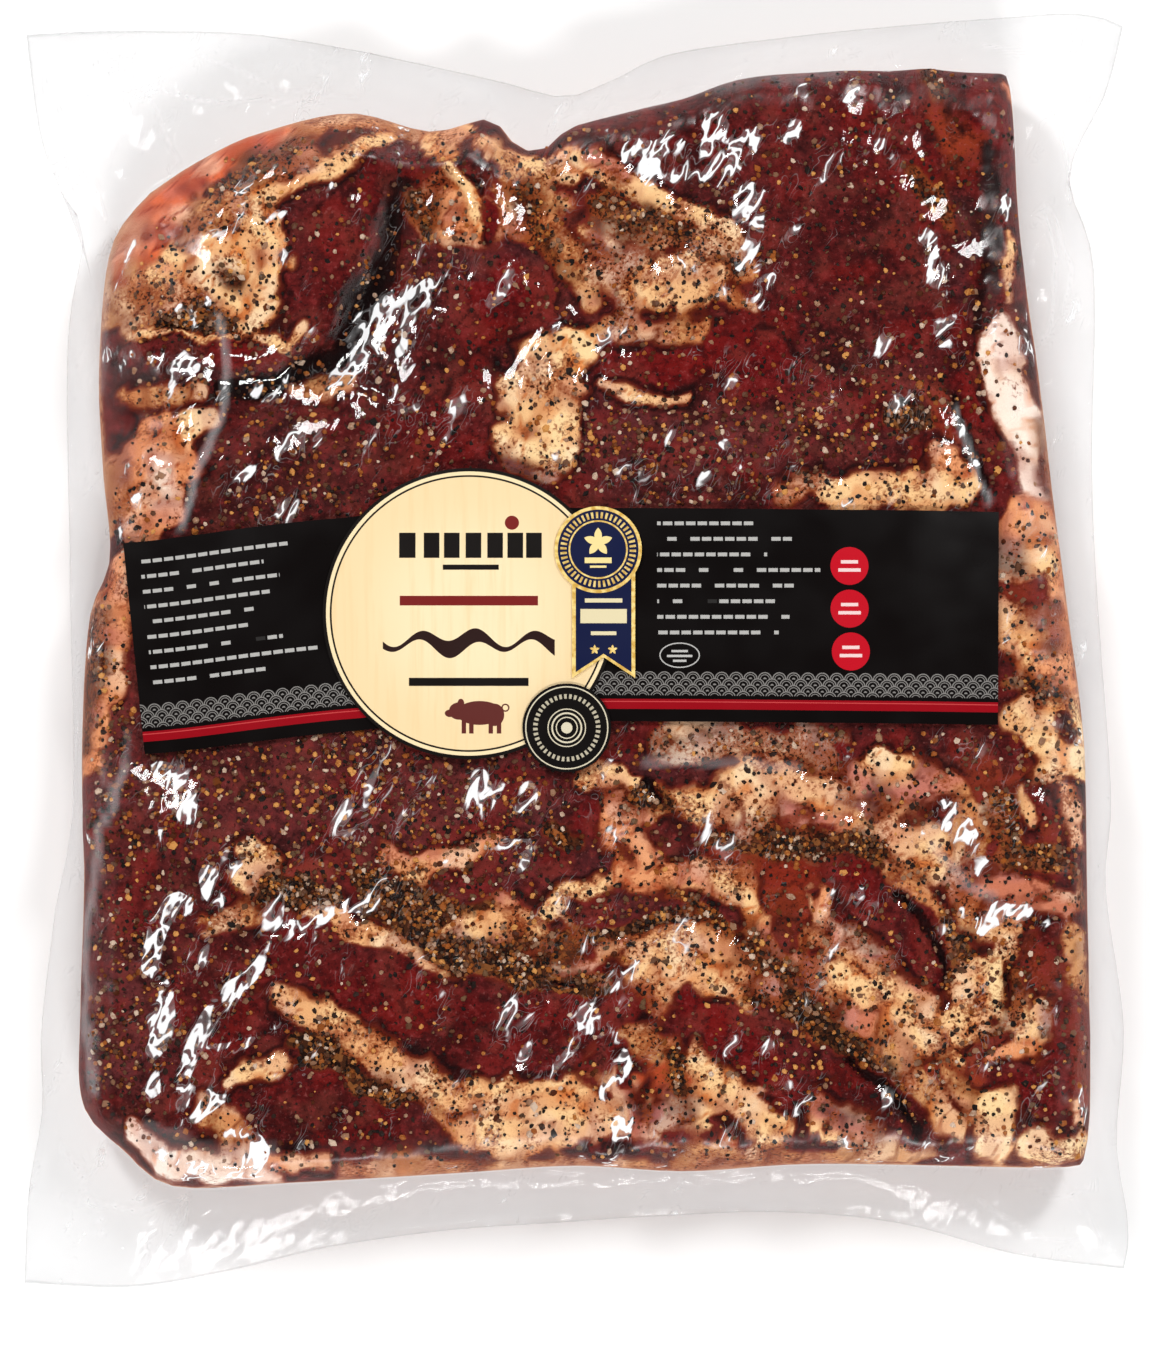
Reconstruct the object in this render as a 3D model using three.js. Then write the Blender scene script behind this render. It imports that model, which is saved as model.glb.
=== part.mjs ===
// A slab of peppered, dry-cured pork belly in a clear vacuum pouch, lying flat with its label up.
// Millimetres, +Z up, +Y towards the top of the label. The origin is on the table, under the
// middle of the pouch's outline.
//
// The pouch is one closed solid: the film clings to the meat, so it has the form of the slab, with
// the flat margin of the two sealed films round it. The band label, the round label and the two
// stickers are thin solids that follow the smooth bed that the labels press into the slab's top.

import * as THREE from "three";

// ---------------------------------------------------------------------------------------------
// Driving sizes

const SLAB_TOP = 34; // usual height of the slab's top
const SEAM_HEIGHT = 12.5; // where the two films meet, at the foot of the slab's upper wall
const EDGE_HEIGHT = 6; // where the margin's outer edge hangs
const EDGE_WAVE = 2.2; // how far that edge waves up and down
const MARGIN_THICKNESS = 1.0; // both films of the margin, with the air between them
const WALL_WIDTH = 8; // over this distance the upper wall rounds over into the top
const BASE_INSET = 8; // the flat base lies this far inside the slab's outline
const LABEL_GAP = 0.3; // left between a label and what it lies on
const LABEL_THICKNESS = 0.3;
const BED_REACH = 6; // the smooth bed reaches this far past the labels,
const BED_FADES = 13; // and has given way to the meat's relief at this distance

const COLUMNS = 44; // cells across the top, between the walls
const ROWS = 50; // cells up the top, between the walls
const WALL_STEPS = [0, 0.007, 0.02, 0.042]; // the walls' cells, as shares of the slab's width

// Corners and sides of two outlines, each side from one corner to the next, anticlockwise from the
// lower left. The corners of the pouch flare, because the slab draws its edges in between them.
const POUCH_OUTLINE = {
  bottom: [[-148.9, -173], [-119.8, -174.1], [-93.4, -169.7], [-67, -163.5], [-35, -159], [-7, -157],
    [24, -155], [56, -154], [88, -157], [119.5, -165.4], [148.6, -169.2]],
  right: [[148.6, -169.2], [150, -158], [146.8, -135], [149, -103], [144.4, -66], [145.9, -42], [142.9, 8],
    [141.4, 48], [142, 104], [135.6, 129], [146, 152.6], [150.65, 170.8]],
  top: [[150.65, 170.8], [138.8, 174.2], [107.5, 171.9], [66, 168.4], [27, 162.6], [10, 155], [-3, 150.7],
    [-20, 155], [-52.5, 162.4], [-90, 168.4], [-125.5, 169.5], [-150.65, 168.1]],
  left: [[-150.65, 168.1], [-147, 141], [-141.3, 125.4], [-135, 112.8], [-138.8, 82], [-138, 19],
    [-136.6, -42], [-141.5, -73.6], [-145, -105], [-144.5, -126.4], [-147.8, -147.7], [-148.9, -173]],
};
const SLAB_OUTLINE = {
  bottom: [[-121.4, -137.6], [-108, -147], [-75, -146], [-32, -143.5], [0, -141.5], [30, -143],
    [66, -141], [128, -142], [137, -140]],
  right: [[137, -140], [139, -124], [138.5, -70], [137.7, -26], [133.9, 6.7], [130.9, 31], [126.3, 72],
    [121.4, 110], [119, 150], [116, 155.6]],
  top: [[116, 155.6], [89.6, 156.4], [50, 154.8], [28, 148.2], [0, 141], [-7, 135.4], [-15, 135.2], [-23.4, 143],
    [-39.7, 140], [-61.5, 145], [-86, 139.5], [-104, 131], [-116, 123]],
  left: [[-116, 123], [-126.5, 108], [-129.6, 75], [-128.5, 48], [-126.3, 23], [-131.7, 6.7], [-133.6, -26],
    [-132.8, -64], [-133.6, -100], [-132.8, -125], [-121.4, -137.6]],
};

// The top's relief: [x, y, radius along, radius across, turn in degrees, rise]
const SWELLS = [
  [-84, 104, 38, 27, 38, 5.0], // the thick flap that is folded over at the upper left
  [-46, 50, 48, 22, 8, 2.4], // the wide muscle beside it
  [-28, 108, 16, 22, 0, 1.6],
  [-3, 66, 12, 20, 10, 2.2], // the fat lobe in the middle
  [56, 108, 56, 38, 0, 2.2], // the large muscle at the upper right
  [86, 43, 26, 8, 0, 1.6],
  [-90, -60, 34, 26, 0, 1.4],
  [-34, -98, 40, 15, -14, 3.0], // the lens-shaped muscle at the lower left
  [-78, -124, 24, 9, 0, 1.6],
  [30, -86, 21, 11, 0, 2.2],
  [60, -48, 34, 10, -14, 1.8],
  [80, -70, 30, 9, -48, 2.2],
  [66, -116, 36, 11, -38, 2.2],
  [112, -52, 12, 22, 0, 1.6],
  [108, -108, 16, 20, 20, 1.6],
];

// Folds and seams between the muscles: the line along the bottom, its half-width and its depth
const CREASES = [
  { line: [[-126, 60], [-94, 64], [-74, 69], [-60, 79], [-50, 92], [-45, 106], [-41, 122]], half: 6, depth: 9 },
  { line: [[-12, 128], [-7, 108], [-7, 93], [-16, 80], [-19, 64], [-18, 50]], half: 5, depth: 3.6 },
  { line: [[109, 126], [106, 84], [102, 64], [110, 44], [115, 20]], half: 4.5, depth: 3.6 },
  { line: [[18, 92], [44, 84], [60, 82], [40, 66], [18, 66]], half: 4, depth: 1.4 },
  { line: [[-90, -70], [-64, -64], [-40, -62], [-8, -54]], half: 5, depth: 1.6 },
  { line: [[-52, -70], [-30, -82], [-2, -88], [10, -92]], half: 5, depth: 2.6 },
  { line: [[-74, -98], [-62, -114], [-46, -124], [-10, -122]], half: 5, depth: 1.8 },
  { line: [[14, -68], [40, -76], [58, -96], [76, -112], [94, -128]], half: 5, depth: 2.6 },
  { line: [[30, -32], [60, -34], [84, -46], [98, -66], [106, -84]], half: 5, depth: 2.4 },
  { line: [[104, -86], [116, -94], [120, -112]], half: 5, depth: 2.0 },
];

// The labels, at the height of the slab's top
const BAND_HEIGHT = 57.3;
const BAND_WINGS = [ // the band's centre line, from its left end to its right, and its lean there
  { x: -118.5, y: -2.6, lean: 6.2 },
  { x: -60, y: 3.4, lean: 5.6 },
  { x: -28, y: 5.6, lean: 2.5 },
  { x: 10, y: 6.0, lean: 0 },
  { x: 113.5, y: 5.2, lean: -0.6 },
];
const DISC = { x: -28.4, y: 6.3, radius: 39.1 };
const MEDAL = { x: 6.2, y: 23.3, radius: 11.7 };
const RIBBON = { left: -0.8, right: 16.1, tips: -11.2, notch: -5.6 };
const SEAL = { x: -2.2, y: -24.5, radius: 11.85 };

// ---------------------------------------------------------------------------------------------
// Curves and distances in plan

// From 0 at a to 1 at b, whichever of the two is larger.
function smooth(a, b, v) {
  const t = THREE.MathUtils.clamp((v - a) / (b - a), 0, 1);
  return t * t * (3 - 2 * t);
}

function sideCurve(points) {
  return new THREE.SplineCurve(points.map(([x, y]) => new THREE.Vector2(x, y)));
}

// Shares of a side at which the grid's lines start: close together at both walls, then even.
function gridShares(cells) {
  const wall = WALL_STEPS.at(-1);
  const shares = [...WALL_STEPS];
  for (let i = 1; i < cells; i++) shares.push(wall + (i / cells) * (1 - 2 * wall));
  return [...shares, ...WALL_STEPS.map((s) => 1 - s).reverse()];
}

const ACROSS = gridShares(COLUMNS);
const UP = gridShares(ROWS);

// The four sides of an outline, each as points at the grid's shares, in the sense of +X and +Y.
function outlineSides(outline) {
  const at = (points, shares) => shares.map((s) => sideCurve(points).getPointAt(s));
  return {
    bottom: at(outline.bottom, ACROSS),
    top: at([...outline.top].reverse(), ACROSS),
    right: at(outline.right, UP),
    left: at([...outline.left].reverse(), UP),
  };
}

// The same points as one loop, anticlockwise from the lower left corner.
function outlineLoop({ bottom, right, top, left }) {
  return [
    ...bottom.slice(0, -1),
    ...right.slice(0, -1),
    ...[...top].reverse().slice(0, -1),
    ...[...left].reverse().slice(0, -1),
  ];
}

function distanceToLine(x, y, line, closed) {
  let nearest = Infinity;
  const last = closed ? line.length : line.length - 1;
  for (let i = 0; i < last; i++) {
    const [a, b] = [line[i], line[(i + 1) % line.length]];
    const [dx, dy] = [b.x - a.x, b.y - a.y];
    const along = ((x - a.x) * dx + (y - a.y) * dy) / (dx * dx + dy * dy || 1);
    const t = THREE.MathUtils.clamp(along, 0, 1);
    nearest = Math.min(nearest, Math.hypot(x - a.x - t * dx, y - a.y - t * dy));
  }
  return nearest;
}

const slabSides = outlineSides(SLAB_OUTLINE);
const slabLoop = outlineLoop(slabSides);
const pouchLoop = outlineLoop(outlineSides(POUCH_OUTLINE));
const creaseLines = CREASES.map(({ line }) => sideCurve(line).getPoints(24));

// ---------------------------------------------------------------------------------------------
// Heights

function swellAt(x, y, [cx, cy, along, across, turn, rise]) {
  const a = THREE.MathUtils.degToRad(turn);
  const [dx, dy] = [x - cx, y - cy];
  const u = (dx * Math.cos(a) + dy * Math.sin(a)) / along;
  const v = (dy * Math.cos(a) - dx * Math.sin(a)) / across;
  return rise * Math.exp(-((u * u + v * v) ** 1.4));
}

function reliefHeight(x, y) {
  let z = SLAB_TOP - 1.5 * (x / 140) ** 2 - 1.5 * (y / 150) ** 2;
  z += 0.7 * Math.sin(x / 11 + 1.3) * Math.sin(y / 9) + 0.5 * Math.sin((x - y) / 6.5);
  for (const swell of SWELLS) z += swellAt(x, y, swell);
  CREASES.forEach(({ half, depth }, i) => {
    z -= depth * Math.exp(-((distanceToLine(x, y, creaseLines[i], false) / half) ** 2));
  });
  return z;
}

// The smooth bed under the labels. It falls towards the slab's left and right sides.
function bedHeight(x, y) {
  const leftFall = 8 * smooth(0, 1, (-84 - x) / 44);
  const rightFall = 3.5 * smooth(0, 1, (x - 88) / 36);
  return SLAB_TOP + 1.6 - 1.2 * (y / 40) ** 2 - leftFall - rightFall;
}

// How far a point is outside the labels' common outline; 0 or less is under them.
function outsideLabels(x, y) {
  const middle = bandAt((x - BAND_WINGS[0].x) / (BAND_WINGS.at(-1).x - BAND_WINGS[0].x));
  const beyondEnd = Math.max(BAND_WINGS[0].x - x, x - BAND_WINGS.at(-1).x);
  const band = Math.max(Math.abs(y - middle.y) - BAND_HEIGHT / 2, beyondEnd);
  const round = ({ x: cx, y: cy, radius }) => Math.hypot(x - cx, y - cy) - radius;
  return Math.min(band, round(DISC), round(MEDAL), round(SEAL));
}

// The wall is wide where the slab's side slopes: at the upper left, and at the upper right.
function wallWidth(x, y) {
  const upperLeft = 14 * smooth(28, 60, y) * smooth(0, -60, x);
  const upperRight = 7 * smooth(24, 44, y) * smooth(110, 84, y) * smooth(60, 100, x);
  return WALL_WIDTH + upperLeft + upperRight;
}

function topHeight(x, y) {
  const bed = smooth(BED_FADES, BED_REACH, outsideLabels(x, y));
  const open = THREE.MathUtils.lerp(reliefHeight(x, y), bedHeight(x, y), bed);
  const inward = distanceToLine(x, y, slabLoop, true) / wallWidth(x, y);
  const rounded = Math.sqrt(1 - (1 - Math.min(inward, 1)) ** 2.4);
  return SEAM_HEIGHT + (open - SEAM_HEIGHT) * rounded;
}

// The margin hangs from the seam to its wavy outer edge. Share 0 is at the slab, 1 at the edge.
function marginHeight(x, y, share) {
  const wave = EDGE_WAVE * (Math.sin(x / 15 + 0.6) + Math.sin(y / 19 - x / 40)) * 0.5;
  return THREE.MathUtils.lerp(SEAM_HEIGHT, EDGE_HEIGHT + wave, smooth(0, 1.25, share) * 1.12);
}

// ---------------------------------------------------------------------------------------------
// Meshes

// Collects points and faces, and makes the geometry.
class Shell {
  points = [];
  faces = [];

  add(x, y, z) {
    return this.points.push([x, y, z]) - 1;
  }

  quad(a, b, c, d) {
    this.faces.push([a, b, c], [a, c, d]);
  }

  // Joins two rings of equal length. Seen from outside, the second ring lies to the left of the first.
  bridge(ring, next) {
    ring.forEach((_, i) => {
      const j = (i + 1) % ring.length;
      this.quad(ring[i], ring[j], next[j], next[i]);
    });
  }

  geometry() {
    const made = new THREE.BufferGeometry();
    made.setAttribute("position", new THREE.Float32BufferAttribute(this.points.flat(), 3));
    made.setIndex(this.faces.flat());
    made.computeVertexNormals();
    return made;
  }
}

function ringBetween(shell, outer, inner, share, heightOf) {
  return outer.map((p, i) => {
    const q = p.clone().lerp(inner[i], share);
    return shell.add(q.x, q.y, heightOf(q.x, q.y));
  });
}

function pouchGeometry() {
  const shell = new Shell();
  const [lastColumn, lastRow] = [ACROSS.length - 1, UP.length - 1];
  const { bottom, top, left, right } = slabSides;

  // The top of the slab: a grid stretched between the four sides.
  const cornerMix = (u, v, key) =>
    (1 - u) * (1 - v) * bottom[0][key] + u * (1 - v) * bottom.at(-1)[key] +
    (1 - u) * v * top[0][key] + u * v * top.at(-1)[key];
  const between = (i, j, key) => {
    const [u, v] = [ACROSS[i], UP[j]];
    const rows = (1 - v) * bottom[i][key] + v * top[i][key];
    const columns = (1 - u) * left[j][key] + u * right[j][key];
    return rows + columns - cornerMix(u, v, key);
  };
  const grid = ACROSS.map((_, i) => UP.map((_, j) => {
    const [x, y] = [between(i, j, "x"), between(i, j, "y")];
    return shell.add(x, y, topHeight(x, y));
  }));
  for (let i = 0; i < lastColumn; i++) {
    for (let j = 0; j < lastRow; j++) {
      shell.quad(grid[i][j], grid[i + 1][j], grid[i + 1][j + 1], grid[i][j + 1]);
    }
  }
  const foot = [
    ...grid.slice(0, lastColumn).map((column) => column[0]),
    ...grid[lastColumn].slice(0, lastRow),
    ...grid.slice(1).map((column) => column[lastRow]).reverse(),
    ...grid[0].slice(1).reverse(),
  ];

  // The margin's upper face, its thin edge, and its lower face.
  const upper = [1, 0.68, 0.34].map((share) =>
    ringBetween(shell, slabLoop, pouchLoop, share, (x, y) => marginHeight(x, y, share)));
  const lower = [1, 0.5, 0].map((share) =>
    ringBetween(shell, slabLoop, pouchLoop, share, (x, y) => marginHeight(x, y, share) - MARGIN_THICKNESS));
  shell.bridge(upper[0], upper[1]);
  shell.bridge(upper[1], upper[2]);
  shell.bridge(upper[2], foot);
  shell.bridge(lower[0], upper[0]);
  shell.bridge(lower[1], lower[0]);
  shell.bridge(lower[2], lower[1]);

  // The lower wall rounds in to the flat base.
  const inset = (distance, z) => slabLoop.map((p) => {
    const q = p.clone().multiplyScalar(1 - distance / p.length());
    return shell.add(q.x, q.y, z);
  });
  const under = inset(BASE_INSET * 0.25, SEAM_HEIGHT * 0.38);
  const base = inset(BASE_INSET, 0);
  shell.bridge(under, lower[2]);
  shell.bridge(base, under);
  const contour = base.map((p) => new THREE.Vector2(shell.points[p][0], shell.points[p][1]));
  for (const [a, b, c] of THREE.ShapeUtils.triangulateShape(contour, [])) {
    shell.faces.push([base[c], base[b], base[a]]);
  }
  return shell.geometry();
}

// The band's centre and lean at a share of its length.
function bandAt(share) {
  const spans = BAND_WINGS.length - 1;
  const first = BAND_WINGS[0];
  const x = first.x + THREE.MathUtils.clamp(share, 0, 1) * (BAND_WINGS[spans].x - first.x);
  const line = new THREE.SplineCurve(BAND_WINGS.map((p) => new THREE.Vector2(p.x, p.y)));
  const leans = new THREE.SplineCurve(BAND_WINGS.map((p) => new THREE.Vector2(p.x, p.lean)));
  // Each spline takes equal steps of its parameter from point to point, so the step is found by x.
  let span = 0;
  while (span < spans - 1 && BAND_WINGS[span + 1].x < x) span++;
  const [from, to] = [BAND_WINGS[span].x, BAND_WINGS[span + 1].x];
  const t = (span + (x - from) / (to - from)) / spans;
  return { x, y: line.getPoint(t).y, lean: THREE.MathUtils.degToRad(leans.getPoint(t).y) };
}

const layer = (number) => number * (LABEL_GAP + LABEL_THICKNESS) + LABEL_GAP;

// The band: a strip of cells that lies on the bed and leans with its centre line.
function bandGeometry() {
  const shell = new Shell();
  const [long, wide] = [32, 6];
  const face = (lift) => Array.from({ length: long + 1 }, (_, i) => {
    const at = bandAt(i / long);
    return Array.from({ length: wide + 1 }, (_, j) => {
      const across = (j / wide - 0.5) * BAND_HEIGHT;
      const x = at.x - across * Math.sin(at.lean);
      const y = at.y + across * Math.cos(at.lean);
      return shell.add(x, y, bedHeight(x, y) + lift);
    });
  });
  const [below, above] = [face(layer(0)), face(layer(0) + LABEL_THICKNESS)];
  for (let i = 0; i < long; i++) {
    for (let j = 0; j < wide; j++) {
      shell.quad(above[i][j], above[i + 1][j], above[i + 1][j + 1], above[i][j + 1]);
      shell.quad(below[i][j], below[i][j + 1], below[i + 1][j + 1], below[i + 1][j]);
    }
  }
  const rim = (f) => [
    ...f.slice(0, long).map((line) => line[0]),
    ...f[long].slice(0, wide),
    ...f.slice(1).map((line) => line[wide]).reverse(),
    ...f[0].slice(1).reverse(),
  ];
  shell.bridge(rim(below), rim(above));
  return shell.geometry();
}

// A round label or sticker: rings round its centre.
function roundGeometry({ x, y, radius }, level, segments, rings) {
  const shell = new Shell();
  const face = (lift) => {
    const middle = shell.add(x, y, bedHeight(x, y) + lift);
    const loops = Array.from({ length: rings }, (_, r) => Array.from({ length: segments }, (_, s) => {
      const a = (s / segments) * 2 * Math.PI;
      const reach = (radius * (r + 1)) / rings;
      const [px, py] = [x + reach * Math.cos(a), y + reach * Math.sin(a)];
      return shell.add(px, py, bedHeight(px, py) + lift);
    }));
    return { middle, loops };
  };
  const close = ({ middle, loops }, up) => {
    const fan = (a, b, c) => shell.faces.push(up ? [a, b, c] : [a, c, b]);
    loops[0].forEach((p, s) => fan(middle, p, loops[0][(s + 1) % segments]));
    for (let r = 1; r < rings; r++) {
      if (up) shell.bridge(loops[r], loops[r - 1]);
      else shell.bridge(loops[r - 1], loops[r]);
    }
  };
  const [below, above] = [face(layer(level)), face(layer(level) + LABEL_THICKNESS)];
  close(below, false);
  close(above, true);
  shell.bridge(below.loops.at(-1), above.loops.at(-1));
  return shell.geometry();
}

// The award sticker: a medal with a swallow-tailed ribbon below it, cut in one outline.
function awardGeometry(level) {
  const { x, y, radius } = MEDAL;
  const outline = new THREE.Shape();
  const meet = (edge) => Math.asin((edge - x) / radius) - Math.PI / 2;
  const [start, end] = [meet(RIBBON.right), meet(RIBBON.left) + 2 * Math.PI];
  outline.absarc(x, y, radius, start, end, false);
  outline.lineTo(RIBBON.left, RIBBON.tips);
  outline.lineTo((RIBBON.left + RIBBON.right) / 2, RIBBON.notch);
  outline.lineTo(RIBBON.right, RIBBON.tips);
  outline.closePath();
  const made = new THREE.ExtrudeGeometry(outline, { depth: LABEL_THICKNESS, bevelEnabled: false, curveSegments: 20 });
  const at = made.getAttribute("position");
  for (let i = 0; i < at.count; i++) {
    at.setZ(i, at.getZ(i) + bedHeight(at.getX(i), at.getY(i)) + layer(level));
  }
  return made;
}

// ---------------------------------------------------------------------------------------------
// The object

function part(name, geometry, color, roughness, metalness = 0) {
  const made = new THREE.Mesh(geometry, new THREE.MeshStandardMaterial({ color, roughness, metalness }));
  made.name = name;
  return made;
}

const group = new THREE.Group();
group.add(
  part("pouch", pouchGeometry(), 0x7c2a24, 0.2),
  part("band_label", bandGeometry(), 0x1d1b1a, 0.55),
  part("disc_label", roundGeometry(DISC, 1, 36, 4), 0xf6e2b4, 0.5),
  part("award_sticker", awardGeometry(2), 0x1b2140, 0.4),
  part("seal_sticker", roundGeometry(SEAL, 2, 24, 2), 0x141312, 0.45),
);

export default group;
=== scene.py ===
import math

import bmesh
import bpy
import numpy as np
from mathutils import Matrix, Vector
from mathutils.bvhtree import BVHTree


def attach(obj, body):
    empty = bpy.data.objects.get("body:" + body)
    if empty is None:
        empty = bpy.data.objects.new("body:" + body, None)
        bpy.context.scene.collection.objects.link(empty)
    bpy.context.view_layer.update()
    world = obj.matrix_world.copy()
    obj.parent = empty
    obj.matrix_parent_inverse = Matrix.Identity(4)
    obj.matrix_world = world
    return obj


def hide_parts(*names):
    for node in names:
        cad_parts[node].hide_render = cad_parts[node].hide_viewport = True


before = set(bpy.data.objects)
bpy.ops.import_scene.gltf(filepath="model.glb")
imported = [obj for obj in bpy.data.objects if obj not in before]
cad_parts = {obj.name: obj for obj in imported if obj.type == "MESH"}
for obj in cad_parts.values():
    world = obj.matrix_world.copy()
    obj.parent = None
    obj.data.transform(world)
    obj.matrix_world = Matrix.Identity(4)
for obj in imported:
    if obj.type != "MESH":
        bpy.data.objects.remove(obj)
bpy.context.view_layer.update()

scene = bpy.context.scene

# ----------------------------------------------------------------------------------------------
# The view. The pack lies on a table, and the camera looks down on it, leaning four degrees
# towards its lower edge. The picture is 1150 by 1368, and one of its pixels covers 0.2722 mm
# at the height of the pouch's margin.

MM = 0.001
PICTURE_HEIGHT = 1368
PIXEL = 0.2722 * MM
VIEW_DISTANCE = 1.6
VIEW_LEAN = math.radians(4)
VIEW_TARGET = Vector((0, -10.75, 8)) * MM
SENSOR = 36

camera = bpy.data.objects.new("camera", bpy.data.cameras.new("camera"))
camera.data.sensor_fit = "VERTICAL"
camera.data.sensor_height = SENSOR
camera.data.lens = SENSOR * VIEW_DISTANCE / (PICTURE_HEIGHT * PIXEL)
camera.location = VIEW_TARGET + VIEW_DISTANCE * Vector((0, -math.sin(VIEW_LEAN), math.cos(VIEW_LEAN)))
camera.rotation_euler = (VIEW_LEAN, 0, 0)
scene.collection.objects.link(camera)
scene.camera = camera
scene.view_settings.view_transform = "Standard"

# ----------------------------------------------------------------------------------------------
# The studio: a white table and soft boxes round it. The sky is dim overhead, so that the film
# doesn't lay a grey veil over the dark meat, and brighter towards the horizon.


class Value:
    """One output in a material, with the arithmetic of numbers."""

    def __init__(self, finish, socket):
        self.finish = finish
        self.socket = socket

    def math(self, operation, *others):
        return self.finish.node("Math", {"operation": operation}, dict(enumerate((self, *others))))

    def __add__(self, other):
        return self.math("ADD", other)

    def __sub__(self, other):
        return self.math("SUBTRACT", other)

    def __rsub__(self, other):
        return self.finish.node("Math", {"operation": "SUBTRACT"}, {0: other, 1: self})

    def __mul__(self, other):
        return self.math("MULTIPLY", other)

    def __truediv__(self, other):
        return self.math("DIVIDE", other)

    __radd__ = __add__
    __rmul__ = __mul__

    def __abs__(self):
        return self.math("ABSOLUTE")

    def power(self, exponent):
        return self.math("POWER", exponent)

    def least(self, other):
        return self.math("MINIMUM", other)

    def most(self, other):
        return self.math("MAXIMUM", other)

    def rise(self, start, end, low=0.0, high=1.0):
        """From low at start to high at end, in a smooth curve; start may be the larger of the two."""
        limits = {"From Min": start, "From Max": end, "To Min": low, "To Max": high}
        if start > end:
            limits = {"From Min": end, "From Max": start, "To Min": high, "To Max": low}
        return self.finish.node("MapRange", {"interpolation_type": "SMOOTHSTEP"}, {"Value": self, **limits})


class Finish:
    """The nodes of a material or a sky. Each node comes from node(), as a Value of one output."""

    def __init__(self, owner):
        owner.use_nodes = True
        self.owner = owner
        self.tree = owner.node_tree
        self.tree.nodes.clear()

    def node(self, kind, settings=None, sockets=None, out=0):
        made = self.tree.nodes.new("ShaderNode" + kind)
        for name, setting in (settings or {}).items():
            setattr(made, name, setting)
        for name, given in (sockets or {}).items():
            if isinstance(given, Value):
                self.tree.links.new(given.socket, made.inputs[name])
            else:
                made.inputs[name].default_value = given
        return Value(self, made.outputs[out]) if len(made.outputs) else made

    def blend(self, factor, a, b, how="MIX"):
        """Colour a turned into b by the factor."""
        return self.node("Mix", {"data_type": "RGBA", "blend_type": how}, {0: factor, 6: a, 7: b}, out=2)

    def attribute(self, name, out="Fac"):
        return self.node("Attribute", {"attribute_name": name}, out=out)

    def place(self):
        """Where a point is on the piece, in millimetres."""
        at = self.node("TexCoord", out="Object")
        return self.node("VectorMath", {"operation": "SCALE"}, {0: at, "Scale": 1 / MM})

    def noise(self, at, size, detail=2.0, roughness=0.5, distortion=0.0):
        """Soft lumps about that many millimetres across."""
        sockets = {"Vector": at, "Scale": 1 / size, "Detail": detail, "Roughness": roughness}
        return self.node("TexNoise", {}, {**sockets, "Distortion": distortion})

    def cells(self, at, size):
        """Cells about that many millimetres across, each of one colour at random."""
        return self.node("TexVoronoi", {}, {"Vector": at, "Scale": 1 / size}, out="Color")

    def bump(self, height, depth):
        """A surface pressed by the height, whose 1 stands for that many millimetres."""
        return self.node("Bump", {}, {"Height": height, "Distance": depth * MM})

    def finish(self, shader):
        self.node("OutputMaterial", {}, {"Surface": shader})
        return self.owner


def srgb(red, green, blue):
    """A colour given as on a screen, 0 to 255, as the linear numbers that a shader takes."""
    shares = [c / 255 for c in (red, green, blue)]
    return (*[c / 12.92 if c <= 0.04045 else ((c + 0.055) / 1.055) ** 2.4 for c in shares], 1.0)


SKY_LOW = 1.5
SKY_OVERHEAD = 0.05
sky = Finish(bpy.data.worlds.new("sky"))
sky_direction = sky.node("TexCoord", out="Generated")
sky_height = sky.node("SeparateXYZ", {}, {"Vector": sky_direction}, out="Z")
sky_light = sky.node("Background", {}, {
    "Color": (1.0, 0.99, 0.98, 1.0),
    "Strength": sky_height.rise(0.1, 0.55, SKY_LOW, SKY_OVERHEAD),
})
sky.node("OutputWorld", {}, {"Surface": sky_light})
scene.world = sky.owner

BOX_DISTANCE = 1.45
SOFT_BOXES = (  # azimuth and lean from the vertical in degrees, width and length in metres, watts
    ("upper_left", 128, 42, 0.20, 0.45, 8.3),
    ("upper_right", 48, 40, 0.20, 0.45, 8.1),
    ("front", 272, 46, 0.45, 0.20, 11.0),
)
for name, azimuth, lean, width, length, watts in SOFT_BOXES:
    lamp = bpy.data.lights.new(name, "AREA")
    lamp.shape = "RECTANGLE"
    lamp.size = width
    lamp.size_y = length
    lamp.energy = watts
    box = bpy.data.objects.new(name, lamp)
    turn = math.radians(azimuth)
    tilt = math.radians(lean)
    towards = Vector((math.sin(tilt) * math.cos(turn), math.sin(tilt) * math.sin(turn), math.cos(tilt)))
    box.location = VIEW_TARGET + BOX_DISTANCE * towards
    box.rotation_euler = towards.to_track_quat("Z", "Y").to_euler()
    scene.collection.objects.link(box)

TABLE_REACH = 4.0
TABLE_GLOW = 0.12  # it is lit from below too, so that the shadows on it stay faint
table_form = bmesh.new()
bmesh.ops.create_grid(table_form, x_segments=8, y_segments=8, size=TABLE_REACH)
table_mesh = bpy.data.meshes.new("table")
table_form.to_mesh(table_mesh)
table_form.free()
table = bpy.data.objects.new("table", table_mesh)
scene.collection.objects.link(table)
table_finish = Finish(bpy.data.materials.new("white_table"))
table_shader = table_finish.node("BsdfPrincipled", {}, {
    "Base Color": (0.9, 0.9, 0.9, 1.0),
    "Roughness": 0.9,
    "Specular IOR Level": 0.1,
    "Emission Color": (0.98, 0.99, 1.0, 1.0),
    "Emission Strength": TABLE_GLOW,
})
table_mesh.materials.append(table_finish.finish(table_shader))

# ----------------------------------------------------------------------------------------------
# The pancetta: a whole pork belly, trimmed flat, salted, peppered and dried. Lean muscles lie
# between layers of fat, and a thick flap is folded over at the upper left. The clear film round
# it clings to the meat, so the meat lies just under the pouch's surface.

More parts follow.
